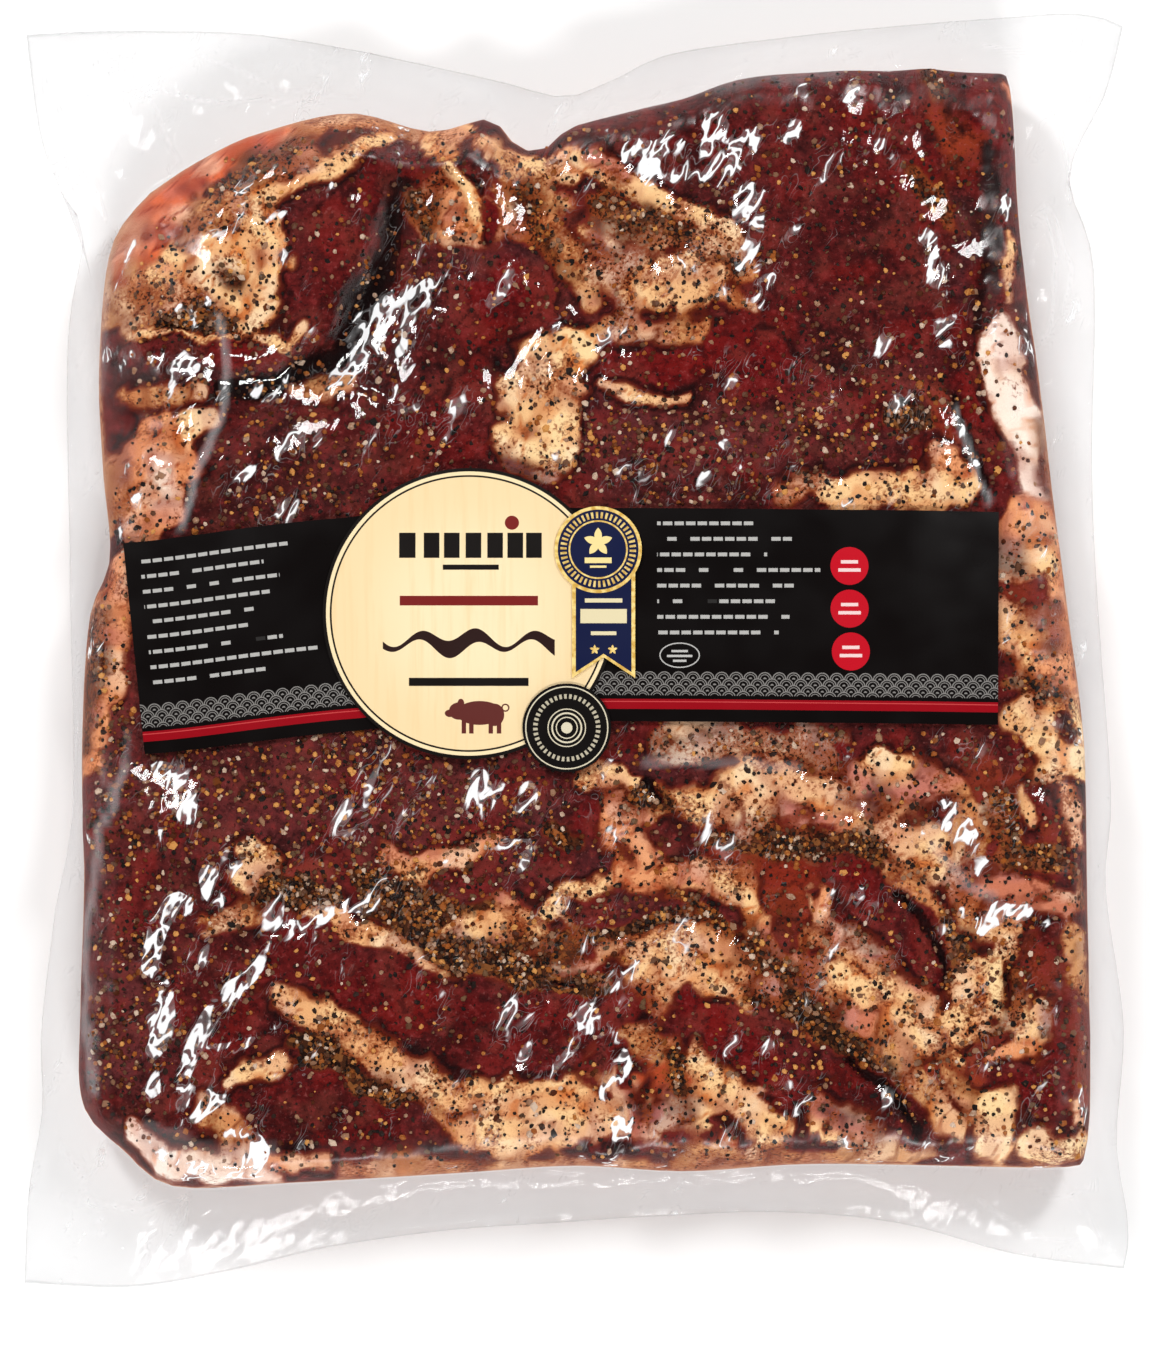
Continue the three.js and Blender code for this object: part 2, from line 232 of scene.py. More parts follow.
SEAM_HEIGHT = 12.5  # millimetres; here the two films meet, at the foot of the slab's upper wall
FILM_GAP = 0.9  # the meat lies this far under the film
WALL_SHARE = 0.045  # of the slab's width: the walls' cells are close together
WALL_CELLS = 8
MEAT_COLUMNS = 266
MEAT_ROWS = 296
EXTENDED_FROM = 0.05  # nearer to the edge than this share, the top's height is carried outwards
WALL_WIDTH = 8  # over this distance the upper wall rounds over into the top
SLAB_TOP = 34
LABEL_CROWN = 1.6  # the labels' bed stands this much higher along its middle


def smooth(start, end, value):
    """From 0 at start to 1 at end, whichever of the two is larger."""
    share = np.clip((value - start) / (end - start), 0, 1)
    return share * share * (3 - 2 * share)


def soft_noise(x, y, size, seed):
    """Smooth random numbers from -1 to 1, in lumps about that many millimetres across."""
    count = 128
    lattice = np.random.default_rng(seed).uniform(-1, 1, (count, count))
    across, up = x / size + 40.3, y / size + 40.7
    i, j = np.floor(across).astype(int), np.floor(up).astype(int)
    s, t = across - i, up - j
    s, t = s * s * (3 - 2 * s), t * t * (3 - 2 * t)

    def corner(a, b):
        return lattice[(i + a) % count, (j + b) % count]

    lower = corner(0, 0) * (1 - s) + corner(1, 0) * s
    upper = corner(0, 1) * (1 - s) + corner(1, 1) * s
    return lower * (1 - t) + upper * t


def line_distance(x, y, points, closed=False):
    """How far points are from a line of straight stretches."""
    ends = list(points[1:]) + ([points[0]] if closed else [])
    nearest = np.full(np.shape(x), 1e9)
    for (ax, ay), (bx, by) in zip(points, ends):
        length = (bx - ax) ** 2 + (by - ay) ** 2
        share = np.clip(((x - ax) * (bx - ax) + (y - ay) * (by - ay)) / max(length, 1e-9), 0, 1)
        nearest = np.minimum(nearest, np.hypot(x - ax - share * (bx - ax), y - ay - share * (by - ay)))
    return nearest


def soften(field, reach):
    """The field with each number averaged with its neighbours, reach cells each way."""
    kernel = np.exp(-0.5 * (np.arange(-2 * reach, 2 * reach + 1) / reach) ** 2)
    kernel /= kernel.sum()
    for axis in (0, 1):
        widths = [(2 * reach, 2 * reach) if a == axis else (0, 0) for a in (0, 1)]
        padded = np.pad(field, widths, mode="edge")
        field = sum(
            k * np.take(padded, range(n, n + field.shape[axis]), axis=axis) for n, k in enumerate(kernel))
    return field


# The pouch's own solid gives the outlines: where its slab starts, and the rim of its margin.
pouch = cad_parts["pouch"]
pouch_form = bmesh.new()
pouch_form.from_mesh(pouch.data)
bmesh.ops.remove_doubles(pouch_form, verts=pouch_form.verts, dist=0.01 * MM)
pouch_tree = BVHTree.FromBMesh(pouch_form)


def upright(edge):
    """Is this one of the short edges round the margin's rim?"""
    step = edge.verts[0].co - edge.verts[1].co
    return math.hypot(step.x, step.y) < 0.02 * MM and 0.8 * MM < abs(step.z) < 1.2 * MM


def loop_sides(vertices):
    """A loop of vertices as four sides in millimetres, each from its lower or left end."""
    around = sorted({(v.co.x / MM, v.co.y / MM) for v in vertices}, key=lambda p: math.atan2(p[1], p[0]))
    around = np.array(around)
    corners = [int(np.argmax(around @ np.array(way))) for way in ((-1, -1), (1, -1), (1, 1), (-1, 1))]
    around = np.roll(around, -corners[0], axis=0)
    starts = [(c - corners[0]) % len(around) for c in corners] + [len(around)]
    around = np.vstack([around, around[:1]])
    bottom, right, top, left = [around[a:b + 1] for a, b in zip(starts, starts[1:])]
    return {"bottom": bottom, "right": right, "top": top[::-1], "left": left[::-1]}


def along(side, shares):
    """Points at these shares of a side's length."""
    steps = np.hypot(*np.diff(side, axis=0).T)
    marks = np.concatenate([[0], np.cumsum(steps)]) / steps.sum()
    return np.stack([np.interp(shares, marks, side[:, 0]), np.interp(shares, marks, side[:, 1])])


def between_sides(sides, u, v):
    """Points at the shares u and v of the space between four sides."""
    bottom, top = along(sides["bottom"], u), along(sides["top"], u)
    left, right = along(sides["left"], v), along(sides["right"], v)
    corners = [sides["bottom"][0], sides["bottom"][-1], sides["top"][0], sides["top"][-1]]
    mix = sum(
        np.array(c)[:, None] * w
        for c, w in zip(corners, ((1 - u) * (1 - v), u * (1 - v), (1 - u) * v, u * v)))
    return (1 - v) * bottom + v * top + (1 - u) * left + u * right - mix


slab_sides = loop_sides([v for v in pouch_form.verts if abs(v.co.z / MM - SEAM_HEIGHT) < 0.02])
rim_sides = loop_sides([v for e in pouch_form.edges if upright(e) for v in e.verts])
slab_loop = np.vstack([
    slab_sides["bottom"][:-1],
    slab_sides["right"][:-1],
    slab_sides["top"][:0:-1],
    slab_sides["left"][:0:-1],
])


def grid_shares(count):
    """Shares of the way across at which a sheet's lines lie: close together at both walls."""
    wall = WALL_SHARE * (np.arange(WALL_CELLS + 1) / WALL_CELLS) ** 2
    middle = np.linspace(WALL_SHARE, 1 - WALL_SHARE, count - 2 * WALL_CELLS + 1)[1:-1]
    return np.concatenate([wall, middle, 1 - wall[::-1]])


def wall_width(x, y):
    """The wall is wide where the slab's side slopes: at the upper left, and at the upper right."""
    upper_left = 14 * smooth(28, 60, y) * smooth(0, -60, x)
    upper_right = 7 * smooth(24, 44, y) * smooth(110, 84, y) * smooth(60, 100, x)
    return (WALL_WIDTH + upper_left + upper_right) * (1 + 0.5 * soft_noise(x, y, 11, 27))


def bed_height(x, y):
    """The smooth bed that the labels lie on."""
    left_fall = 8 * smooth(0, 1, (-84 - x) / 44)
    right_fall = 3.5 * smooth(0, 1, (x - 88) / 36)
    return SLAB_TOP + LABEL_CROWN - 1.2 * (y / 40) ** 2 - left_fall - right_fall


BAND = {"left": -118.5, "right": 113.5, "height": 57.3}
BAND_LINE = ((-118.5, -2.6, 6.2), (-60, 3.4, 5.6), (-28, 5.6, 2.5), (10, 6.0, 0.0), (113.5, 5.2, -0.6))
DISC = (-28.4, 6.3, 39.1)
MEDAL = (6.2, 23.3, 11.7)
SEAL = (-2.2, -24.5, 11.85)


def outside_labels(x, y):
    """How far a point is outside the labels' common outline; 0 or less is under them."""
    middle = np.interp(x, [p[0] for p in BAND_LINE], [p[1] for p in BAND_LINE])
    beyond = np.maximum(BAND["left"] - x, x - BAND["right"])
    nearest = np.maximum(np.abs(y - middle) - BAND["height"] / 2, beyond)
    for cx, cy, radius in (DISC, MEDAL, SEAL):
        nearest = np.minimum(nearest, np.hypot(x - cx, y - cy) - radius)
    return nearest


def film_surface(columns, rows):
    """Where the film lies over the slab, in millimetres, as grids of x, y, height and wall share."""
    u, v = np.meshgrid(grid_shares(columns), grid_shares(rows), indexing="ij")
    x, y = between_sides(slab_sides, u.ravel(), v.ravel()).reshape(2, *u.shape)
    down = Vector((0, 0, -1))
    found = np.full(x.size, np.nan)
    for n, (px, py) in enumerate(zip(x.ravel(), y.ravel())):
        hit = pouch_tree.ray_cast(Vector((px, py, 80)) * MM, down)[0]
        if hit:
            found[n] = hit.z / MM
    inward = line_distance(x, y, slab_loop, closed=True) / wall_width(x, y)
    rounded = np.sqrt(1 - (1 - np.minimum(inward, 1)) ** 2.4)
    top = SEAM_HEIGHT + (found.reshape(x.shape) - SEAM_HEIGHT) / np.maximum(rounded, 0.3)
    left, low = int(np.searchsorted(u[:, 0], EXTENDED_FROM)), int(np.searchsorted(v[0], EXTENDED_FROM))
    top[:left], top[-left:] = top[left], top[-left - 1]
    top[:, :low], top[:, -low:] = top[:, low:low + 1], top[:, -low - 1:-low]
    top = soften(np.nan_to_num(top, nan=SEAM_HEIGHT), 3)
    outside = outside_labels(x, y)
    bed = smooth(12, 5, outside)
    top = soften(top * (1 - bed) + bed_height(x, y) * bed, 4)
    bed = smooth(4, 0, outside)
    top = top * (1 - bed) + bed_height(x, y) * bed
    return x, y, top, rounded


def sheet_form(columns, rows, rings):
    """A grid with rings of faces extruded from its rim, and each vertex's column, row and ring."""
    form = bmesh.new()
    bmesh.ops.create_grid(form, x_segments=columns, y_segments=rows, size=0.5)
    ring_of = form.verts.layers.int.new("ring")
    rim = [e for e in form.edges if e.is_boundary]
    for ring in range(1, rings + 1):
        made = bmesh.ops.extrude_edge_only(form, edges=rim)["geom"]
        for vertex in [v for v in made if isinstance(v, bmesh.types.BMVert)]:
            vertex[ring_of] = ring
        new_edges = [e for e in made if isinstance(e, bmesh.types.BMEdge)]
        rim = [e for e in new_edges if all(v[ring_of] == ring for v in e.verts)]
    bmesh.ops.edgeloop_fill(form, edges=rim)
    places = np.array([(v.co.x, v.co.y, v[ring_of]) for v in form.verts])
    column = np.rint((places[:, 0] + 0.5) * columns).astype(int)
    row = np.rint((places[:, 1] + 0.5) * rows).astype(int)
    return form, column, row, places[:, 2].astype(int)


def sheet_mesh(name, form, points):
    """The form as a mesh whose vertices lie at the points, given in millimetres."""
    mesh = bpy.data.meshes.new(name)
    form.to_mesh(mesh)
    form.free()
    mesh.vertices.foreach_set("co", (points * MM).astype(np.float32).ravel())
    mesh.update()
    outward = bmesh.new()
    outward.from_mesh(mesh)
    bmesh.ops.recalc_face_normals(outward, faces=outward.faces)
    outward.to_mesh(mesh)
    outward.free()
    mesh.shade_smooth()
    return mesh


def set_attribute(mesh, name, numbers):
    """Numbers or colours for the mesh's vertices, which its material reads by name."""
    if numbers.ndim == 1:
        mesh.attributes.new(name, "FLOAT", "POINT").data.foreach_set("value", numbers.astype(np.float32))
        return
    colours = np.hstack([numbers, np.ones((len(numbers), 1))]).astype(np.float32)
    mesh.attributes.new(name, "FLOAT_COLOR", "POINT").data.foreach_set("color", colours.ravel())


def add_piece(name, mesh, finish, nodes=()):
    """A finished piece in the scene: its material, the body it rides on and what it replaces."""
    piece = bpy.data.objects.new(name, mesh)
    scene.collection.objects.link(piece)
    mesh.materials.clear()
    mesh.materials.append(finish)
    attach(piece, "root")
    for node in nodes:
        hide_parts(node)
    return piece


# What the slab's top shows: each tissue's share of lean, its colour, how far it stands up in
# millimetres, and how thickly crushed spice covers it.
TISSUES = {
    "cream": (0, (230, 167, 113), 1.1, 0.05),
    "yellow": (0, (238, 180, 124), 1.1, 0.0),
    "peach": (0, (248, 212, 192), 0.9, -0.3),
    "rind": (0, (184, 72, 34), 0.7, -0.3),
    "orange": (0, (204, 122, 80), 0.9, 0.0),
    "tan": (0, (172, 114, 72), 0.6, 0.2),
    "rust": (1, (138, 50, 26), 0.5, 0.1),
    "brown": (0, (80, 42, 26), 0.1, 0.55),
    "crust": (0, (52, 30, 20), 0.3, 1.0),
    "mauve": (0, (110, 60, 56), 0.5, 0.15),
    "grey": (0, (140, 112, 96), 0.7, 0.3),
    "pink": (0, (164, 94, 78), 1.0, 0.0),
    "red": (1, (98, 13, 14), 0.9, 0.0),
    "deep": (1, (86, 14, 14), 0.7, 0.0),
    "lean": (1, (74, 17, 17), 0.5, 0.1),
    "plum": (1, (76, 28, 30), 0.2, 0.25),
    # The crease's and the groove's near-black colours are painted shade, where the folds lie in shadow.
    "crease": (1, (26, 8, 8), -2.2, 0.0),
    "groove": (1, (46, 16, 14), -0.6, 0.0),
}
LEAN_BASE = (74, 17, 17)
FAT_BASE = (170, 108, 74)

# Painted in this order over lean meat: tissue, half-width, then the points of its middle line.
FLAP = (  # the thick flap, folded over at the upper left
    ("deep", 9, (-50, 130), (-58, 118), (-66, 104), (-70, 88)),
    ("cream", 13, (-114, 92), (-102, 104), (-90, 108)),
    ("tan", 5, (-122, 100), (-120, 85)),
    ("crust", 4, (-110, 84), (-98, 86), (-88, 84)),
    ("cream", 5, (-104, 98), (-94, 100), (-90, 92)),
    ("yellow", 4, (-84, 112), (-83, 100), (-84, 90)),
    ("brown", 3, (-98, 118), (-90, 122), (-80, 125)),
    ("brown", 2, (-94, 99), (-90, 96)),
    ("rind", 9, (-126, 106), (-117, 117), (-106, 127), (-94, 134), (-80, 140)),
    ("tan", 4.4, (-106, 106), (-97, 115), (-84, 123), (-72, 131)),
    ("brown", 2.2, (-98, 120), (-86, 129), (-74, 136)),
    ("tan", 3.5, (-74, 142), (-62, 141), (-50, 138), (-38, 134), (-26, 137)),
    ("cream", 2.8, (-88, 117), (-76, 124), (-64, 130), (-52, 134)),
    ("tan", 2.5, (-127, 106), (-128, 85)),
    ("red", 4.5, (-120, 76), (-110, 77), (-98, 76), (-86, 75), (-76, 77)),
    ("cream", 1.2, (-118, 82), (-105, 81), (-92, 80)),
    ("cream", 2.4, (-86, 82), (-78, 80), (-74, 84)),
    ("tan", 3.4, (-124, 66), (-112, 64), (-100, 66)),
    ("cream", 2.6, (-86, 117), (-80, 106), (-82, 91), (-90, 84)),
    ("groove", 4.6, (-90, 67), (-80, 68), (-69, 74), (-60, 83), (-55, 95), (-50, 108), (-45, 122)),
    ("crease", 4, (-93, 66), (-82, 67), (-71, 72), (-62, 80), (-57, 90), (-53, 101), (-49, 113)),
)
UPPER_LEFT = (
    ("orange", 9, (-112, 52), (-116, 40), (-118, 30)),
    ("cream", 4, (-106, 58), (-98, 59)),
    ("tan", 4, (-125, 47), (-125, 32)),
    ("peach", 3, (-113, 47), (-110, 38)),
    ("plum", 6, (-92, 52), (-80, 56)),
    ("orange", 5.5, (-122, 24), (-124, 12), (-128, -4), (-130, -20), (-129, -38), (-129, -55)),
    ("brown", 2.5, (-127, 10), (-131, -12), (-131, -30)),
    ("tan", 3, (-76, 66), (-60, 70)),
    ("cream", 5, (-40, 134), (-30, 138), (-24, 133)),
    ("orange", 5, (-33, 118), (-26, 112)),
    ("brown", 4, (-43, 119), (-38, 110)),
    ("cream", 2, (-36, 126), (-28, 120), (-24, 112)),
    ("tan", 3, (-38, 104), (-30, 106)),
    ("red", 3, (-22, 119), (-21, 110)),
    ("plum", 7, (-44, 100), (-30, 101), (-18, 100), (-6, 98)),
    ("red", 10, (-40, 84), (-28, 88), (-16, 90)),
    ("deep", 9, (-44, 60), (-32, 56), (-24, 66)),
    ("tan", 5, (-17, 130), (-12, 118), (-6, 108), (0, 100), (3, 92)),
    ("cream", 4, (-12, 130), (-2, 126)),
    ("brown", 3, (-16, 122), (-11, 112), (-7, 103)),
)
UPPER_RIGHT = (
    ("deep", 16, (40, 140), (74, 136), (92, 120)),
    ("lean", 20, (60, 108), (84, 92)),
    ("orange", 3, (-4, 132), (6, 131)),
    ("tan", 5, (12, 114), (26, 110), (38, 106), (46, 98)),
    ("cream", 3.2, (0, 131), (8, 126), (20, 120), (32, 113), (42, 109)),
    ("pink", 2.4, (4, 132), (12, 126)),
    ("brown", 3.6, (6, 119), (18, 113), (28, 108)),
    ("mauve", 5, (8, 105), (15, 98), (13, 88)),
    ("yellow", 6, (20, 93), (27, 98), (33, 93)),
    ("tan", 3, (38, 92), (48, 88)),
    ("brown", 2, (36, 102), (44, 98)),
    ("yellow", 6.4, (21, 93), (30, 95)),
    ("tan", 3, (0, 79), (8, 84), (20, 82), (34, 82)),
    ("red", 5.5, (10, 75), (20, 73), (32, 74)),
    ("red", 7, (42, 76), (56, 70), (72, 62)),
    ("cream", 1.8, (6, 69), (18, 66), (30, 66)),
    ("yellow", 8, (-9, 76), (-11, 68), (-9, 60), (-12, 53)),
    ("yellow", 4, (-4, 82), (2, 78)),
    ("cream", 3, (-4, 70), (0, 66)),
    ("plum", 7, (8, 58), (22, 52), (40, 46)),
    ("mauve", 2.6, (-18, 46), (-8, 43)),
    ("crust", 4, (84, 60), (97, 58)),
    ("rust", 4, (94, 66), (102, 60), (106, 52)),
    ("red", 8, (108, 148), (113, 134), (112, 122)),
    ("orange", 2, (117, 152), (120, 146)),
    ("brown", 2.6, (96, 154), (99, 148)),
    ("brown", 3.4, (90, 124), (98, 118), (104, 112)),
    ("cream", 6, (68, 40), (80, 38), (94, 40), (104, 42)),
    ("tan", 4, (56, 38), (62, 42)),
    ("orange", 3, (98, 50), (104, 46)),
    ("rust", 4, (100, 142), (107, 134), (106, 116)),
    ("plum", 4, (107, 120), (106, 100), (108, 88)),
    ("groove", 2.2, (112, 132), (111, 110), (109, 84)),
    ("cream", 2, (116, 112), (117, 98), (118, 92)),
    ("rust", 3, (118, 88), (120, 82)),
    ("peach", 6, (114, 84), (117, 74), (120, 60), (123, 48)),
    ("peach", 4, (121, 56), (125, 42), (127, 30)),
    ("mauve", 2.4, (128, 60), (130, 44), (131, 30)),
    ("red", 4.4, (107, 68), (111, 56), (115, 42), (118, 30)),
    ("crease", 1, (104, 66), (107, 52), (111, 38)),
)
BESIDE_LABEL = (
    ("orange", 11, (124, 22), (125, 6), (128, -8)),
    ("grey", 4, (116, 24), (122, 20)),
    ("cream", 3, (126, 24), (130, 16)),
    ("rust", 4.5, (117, 14), (124, 11), (124, 4)),
    ("mauve", 3, (129, 5), (130, -4)),
    ("cream", 5, (117, 4), (120, -4)),
    ("brown", 3.5, (116, -12), (124, -14), (130, -16)),
    ("yellow", 6, (118, -20), (126, -24), (130, -34)),
)
LOWER_LEFT = (
    ("lean", 18, (-118, -50), (-90, -48), (-60, -48)),
    ("plum", 10, (-128, -55), (-127, -90), (-126, -120)),
    ("cream", 5.5, (-82, -58), (-87, -66)),
    ("tan", 3.4, (-98, -79), (-90, -76), (-80, -75)),
    ("rust", 3.5, (-76, -66), (-62, -62)),
    ("orange", 4, (-50, -60), (-42, -62), (-34, -58)),
    ("cream", 3.5, (-46, -65), (-42, -64)),
    ("crust", 5, (-80, -70), (-66, -71)),
    ("cream", 4.5, (-74, -78), (-62, -77), (-52, -81), (-44, -86), (-36, -89)),
    ("crust", 6, (-56, -68), (-44, -74), (-30, -78), (-22, -81), (-14, -86)),
    ("deep", 10, (-78, -84), (-60, -92), (-40, -101), (-20, -106), (-4, -103)),
    ("lean", 9, (-100, -90), (-98, -104), (-104, -118)),
    ("cream", 5.2, (-79, -97), (-70, -101), (-62, -107), (-52, -113), (-42, -117), (-30, -122), (-20, -124),
     (-8, -123), (2, -122)),
    ("crust", 4.2, (-75, -107), (-66, -115), (-57, -122), (-48, -125)),
    ("deep", 8, (-86, -128), (-76, -123), (-66, -125), (-56, -132), (-46, -136)),
    ("cream", 3.2, (-92, -120), (-84, -115), (-79, -111)),
    ("tan", 4, (-100, -125), (-92, -130), (-86, -136)),
    ("peach", 4, (-120, -132), (-110, -140), (-96, -142), (-80, -142)),
    ("orange", 2.4, (-80, -138), (-66, -140)),
    ("tan", 3, (-38, -125), (-30, -132)),
    ("lean", 4, (-44, -128), (-30, -137)),
    ("cream", 6, (-26, -131), (-16, -134), (-4, -129), (6, -128)),
)
LOWER_MIDDLE = (
    ("plum", 5, (-20, -42), (-8, -46)),
    ("orange", 3, (-36, -60), (-28, -58), (-22, -55)),
    ("deep", 6, (-28, -67), (-16, -62), (-6, -58)),
    ("cream", 4, (-34, -80), (-24, -79), (-16, -76)),
    ("crust", 4.6, (-36, -85), (-24, -86)),
    ("cream", 4, (2, -39), (12, -37)),
    ("red", 5, (2, -48), (8, -54), (8, -62)),
    ("crust", 3, (-6, -52), (0, -56)),
    ("plum", 4, (-8, -66), (4, -62), (14, -58)),
    ("pink", 4, (10, -44), (17, -50), (20, -58)),
    ("cream", 3.6, (12, -38), (22, -46), (30, -49)),
    ("crease", 1.6, (18, -37), (20, -42)),
    ("grey", 5.5, (27, -27), (42, -30), (58, -31), (72, -30)),
    ("cream", 2.6, (30, -26), (38, -30)),
    ("plum", 2.6, (24, -37), (36, -38), (48, -35)),
    ("cream", 5.4, (40, -42), (54, -40), (68, -43)),
    ("mauve", 1.8, (50, -35), (66, -38), (78, -46)),
    ("rust", 5, (18, -54), (38, -55), (58, -58), (72, -62), (86, -68)),
    ("crust", 2.6, (50, -52), (66, -54), (80, -57), (92, -63)),
    ("tan", 2, (30, -61), (42, -63)),
    ("cream", 3.8, (-9, -75), (0, -71), (12, -67), (24, -64), (36, -67), (46, -71)),
    ("brown", 3.2, (-9, -84), (4, -79), (16, -74), (30, -74)),
    ("crust", 2.2, (6, -79), (20, -76), (34, -76)),
    ("rust", 4, (50, -68), (57, -74), (56, -80)),
    ("cream", 6.5, (18, -84), (30, -84), (42, -88)),
    ("cream", 4.5, (22, -92), (38, -94)),
    ("orange", 1.8, (46, -78), (52, -86)),
    ("grey", 4.4, (46, -82), (56, -91), (64, -100)),
    ("crust", 3, (42, -92), (56, -98), (66, -106)),
    ("crust", 2, (-8, -94), (4, -96), (14, -97)),
    ("cream", 3, (58, -66), (64, -74), (66, -82)),
)
LOWER_RIGHT = (
    ("plum", 4, (12, -30), (18, -36)),
    ("grey", 4, (24, -30), (34, -31), (44, -29)),
    ("pink", 5, (76, -36), (88, -38), (100, -40)),
    ("cream", 2.4, (80, -32), (88, -34)),
    ("red", 2.2, (71, -30), (80, -28)),
    ("rust", 5, (102, -30), (108, -38), (110, -48)),
    ("rust", 5.5, (118, -42), (125, -44), (130, -54)),
    ("cream", 3.2, (121, -43), (123, -51)),
    ("red", 3, (124, -42), (129, -50)),
    ("orange", 3.4, (134, -42), (135, -56)),
    ("tan", 4.6, (103, -46), (107, -56)),
    ("brown", 4.4, (113, -46), (115, -56), (114, -64)),
    ("brown", 4.4, (120, -60), (130, -60)),
    ("cream", 6, (46, -41), (56, -40), (64, -42)),
    ("pink", 3, (57, -48), (65, -49)),
    ("cream", 4, (24, -46), (34, -47), (44, -47)),
    ("crust", 3.4, (12, -47), (17, -44), (23, -46)),
    ("crease", 2, (17, -40), (21, -45)),
    ("orange", 5, (10, -49), (14, -56), (18, -64)),
    ("red", 4, (22, -53), (30, -54), (36, -55)),
    ("brown", 3.4, (38, -54), (50, -55), (62, -56), (76, -58)),
    ("crust", 2.2, (44, -56), (56, -57), (80, -60)),
    ("mauve", 3, (80, -42), (90, -48), (98, -56)),
    ("cream", 4.4, (84, -50), (92, -56), (99, -65)),
    ("mauve", 5, (103, -65), (110, -72), (118, -72)),
    ("tan", 3.6, (106, -77), (116, -78)),
    ("pink", 5, (114, -68), (130, -72)),
    ("brown", 2.4, (134, -62), (136, -72)),
    ("orange", 4.6, (24, -63), (34, -64), (44, -68)),
    ("cream", 3.6, (38, -66), (45, -70)),
    ("rust", 6.4, (55, -63), (58, -77)),
    ("orange", 2.8, (69, -63), (67, -70), (66, -78)),
    ("deep", 7, (72, -63), (82, -70), (90, -79), (96, -89)),
    ("red", 4, (72, -65), (80, -70)),
    ("crease", 1.2, (88, -69), (94, -77), (99, -86), (101, -93)),
    ("tan", 2.6, (84, -61), (92, -67), (99, -76)),
    ("crust", 2.8, (100, -77), (104, -84), (103, -91)),
    ("tan", 3, (60, -79), (68, -83)),
    ("pink", 5, (72, -80), (80, -86), (86, -93), (94, -99)),
    ("mauve", 2, (74, -77), (84, -88)),
    ("cream", 8, (20, -86), (30, -85), (38, -91)),
    ("cream", 5, (30, -79), (38, -80)),
    ("plum", 4.4, (2, -74), (14, -71), (26, -72)),
    ("brown", 2, (24, -69), (32, -72), (40, -78)),
    ("crease", 1.2, (44, -80), (50, -84), (58, -90)),
    ("brown", 4, (48, -84), (56, -92), (62, -98)),
    ("mauve", 3.4, (50, -92), (56, -99)),
    ("mauve", 4, (62, -88), (71, -97)),
    ("cream", 4.6, (72, -92), (84, -99), (94, -105), (105, -107)),
    ("cream", 4.6, (103, -104), (107, -95), (114, -83)),
    ("yellow", 2.6, (113, -88), (110, -98)),
    ("rust", 5.4, (121, -84), (127, -92), (124, -98)),
    ("tan", 4.4, (134, -80), (136, -96)),
    ("brown", 2, (118, -90), (116, -100), (110, -108)),
    ("crease", 1, (116, -89), (114, -98)),
    ("rust", 4.4, (108, -112), (116, -108)),
    ("cream", 4.2, (125, -97), (122, -106), (117, -113)),
    ("grey", 2, (126, -98), (126, -104)),
    ("deep", 6, (14, -98), (8, -112)),
    ("crust", 2.4, (-14, -92), (-2, -93), (8, -92)),
    ("crease", 1, (-8, -92), (-1, -94)),
    ("yellow", 6, (120, -20), (126, -27), (130, -35)),
    ("red", 7.5, (30, -104), (44, -106), (54, -113), (64, -121)),
    ("tan", 2.8, (14, -106), (26, -109)),
    ("crust", 2.4, (27, -112), (28, -120)),
    ("cream", 4.4, (34, -112), (40, -119), (48, -126), (56, -131)),
    ("pink", 4.6, (74, -102), (84, -108)),
    ("tan", 4.8, (85, -109), (94, -120), (99, -131)),
    ("crust", 3.6, (58, -97), (67, -106), (76, -114), (86, -123)),
    ("rust", 6, (98, -113), (108, -117), (118, -114)),
    ("red", 6.4, (116, -119), (128, -124), (133, -112), (134, -100)),
    ("deep", 5.4, (68, -114), (78, -122), (87, -130), (95, -137)),
    ("crease", 1.2, (74, -113), (84, -123), (92, -132)),
    ("mauve", 4, (18, -124), (28, -127)),
    ("red", 3, (26, -131), (36, -133)),
    ("pink", 5.4, (66, -126), (74, -132), (84, -137)),
    ("mauve", 1.4, (64, -124), (74, -129), (86, -136)),
    ("cream", 2, (62, -130), (72, -136)),
    ("yellow", 6.2, (111, -126), (113, -136)),
    ("cream", 3.6, (100, -123), (103, -134)),
    ("orange", 2.8, (134, -124), (136, -131)),
    ("yellow", 4.6, (121, -136), (136, -135)),
    ("tan", 3, (-60, -143), (-20, -142), (20, -142), (60, -141), (96, -139)),
    ("rust", 2.4, (136, -98), (137, -126)),
    ("yellow", 2.4, (136, -18), (137, -38)),
    ("cream", 3.2, (86, -103), (96, -109), (104, -113)),
    ("tan", 3.6, (100, -114), (107, -123)),
    ("orange", 2.8, (112, -113), (122, -110)),
)
STROKES = (*FLAP, *UPPER_LEFT, *UPPER_RIGHT, *BESIDE_LABEL, *LOWER_LEFT, *LOWER_MIDDLE, *LOWER_RIGHT)
# Painted shade in the folds between muscles: how far the meat's colour is darkened there.
FOLD_SHADE = {"crease": 0.95, "groove": 0.5}  # how dark the folds between muscles are
EDGE_SOFTNESS = 1.7  # millimetres over which one tissue gives way to the next
FAT_SPREAD = 1.15  # fat runs out this much wider than its stroke

# Where lean and fat are too mixed for single strokes: half-width, then the points of the middle line.
MARBLED = (
    (15, (40, -52), (76, -50), (94, -50)),
    (18, (56, -88), (84, -98), (112, -100)),
    (15, (18, -118), (44, -126)),
    (14, (6, -60), (20, -88)),
    (12, (-20, -76), (6, -78)),
    (8, (4, 106), (14, 99)),
    (10, (-34, 116), (-8, 112)),
    (12, (-104, 100), (-96, 96)),
    (9, (126, 30), (128, -30)),
)
MARBLE_LEAN = (98, 32, 20)
MARBLE_TINTS = ("pink", "mauve", "tan", "rust")  # in patches over cream fat

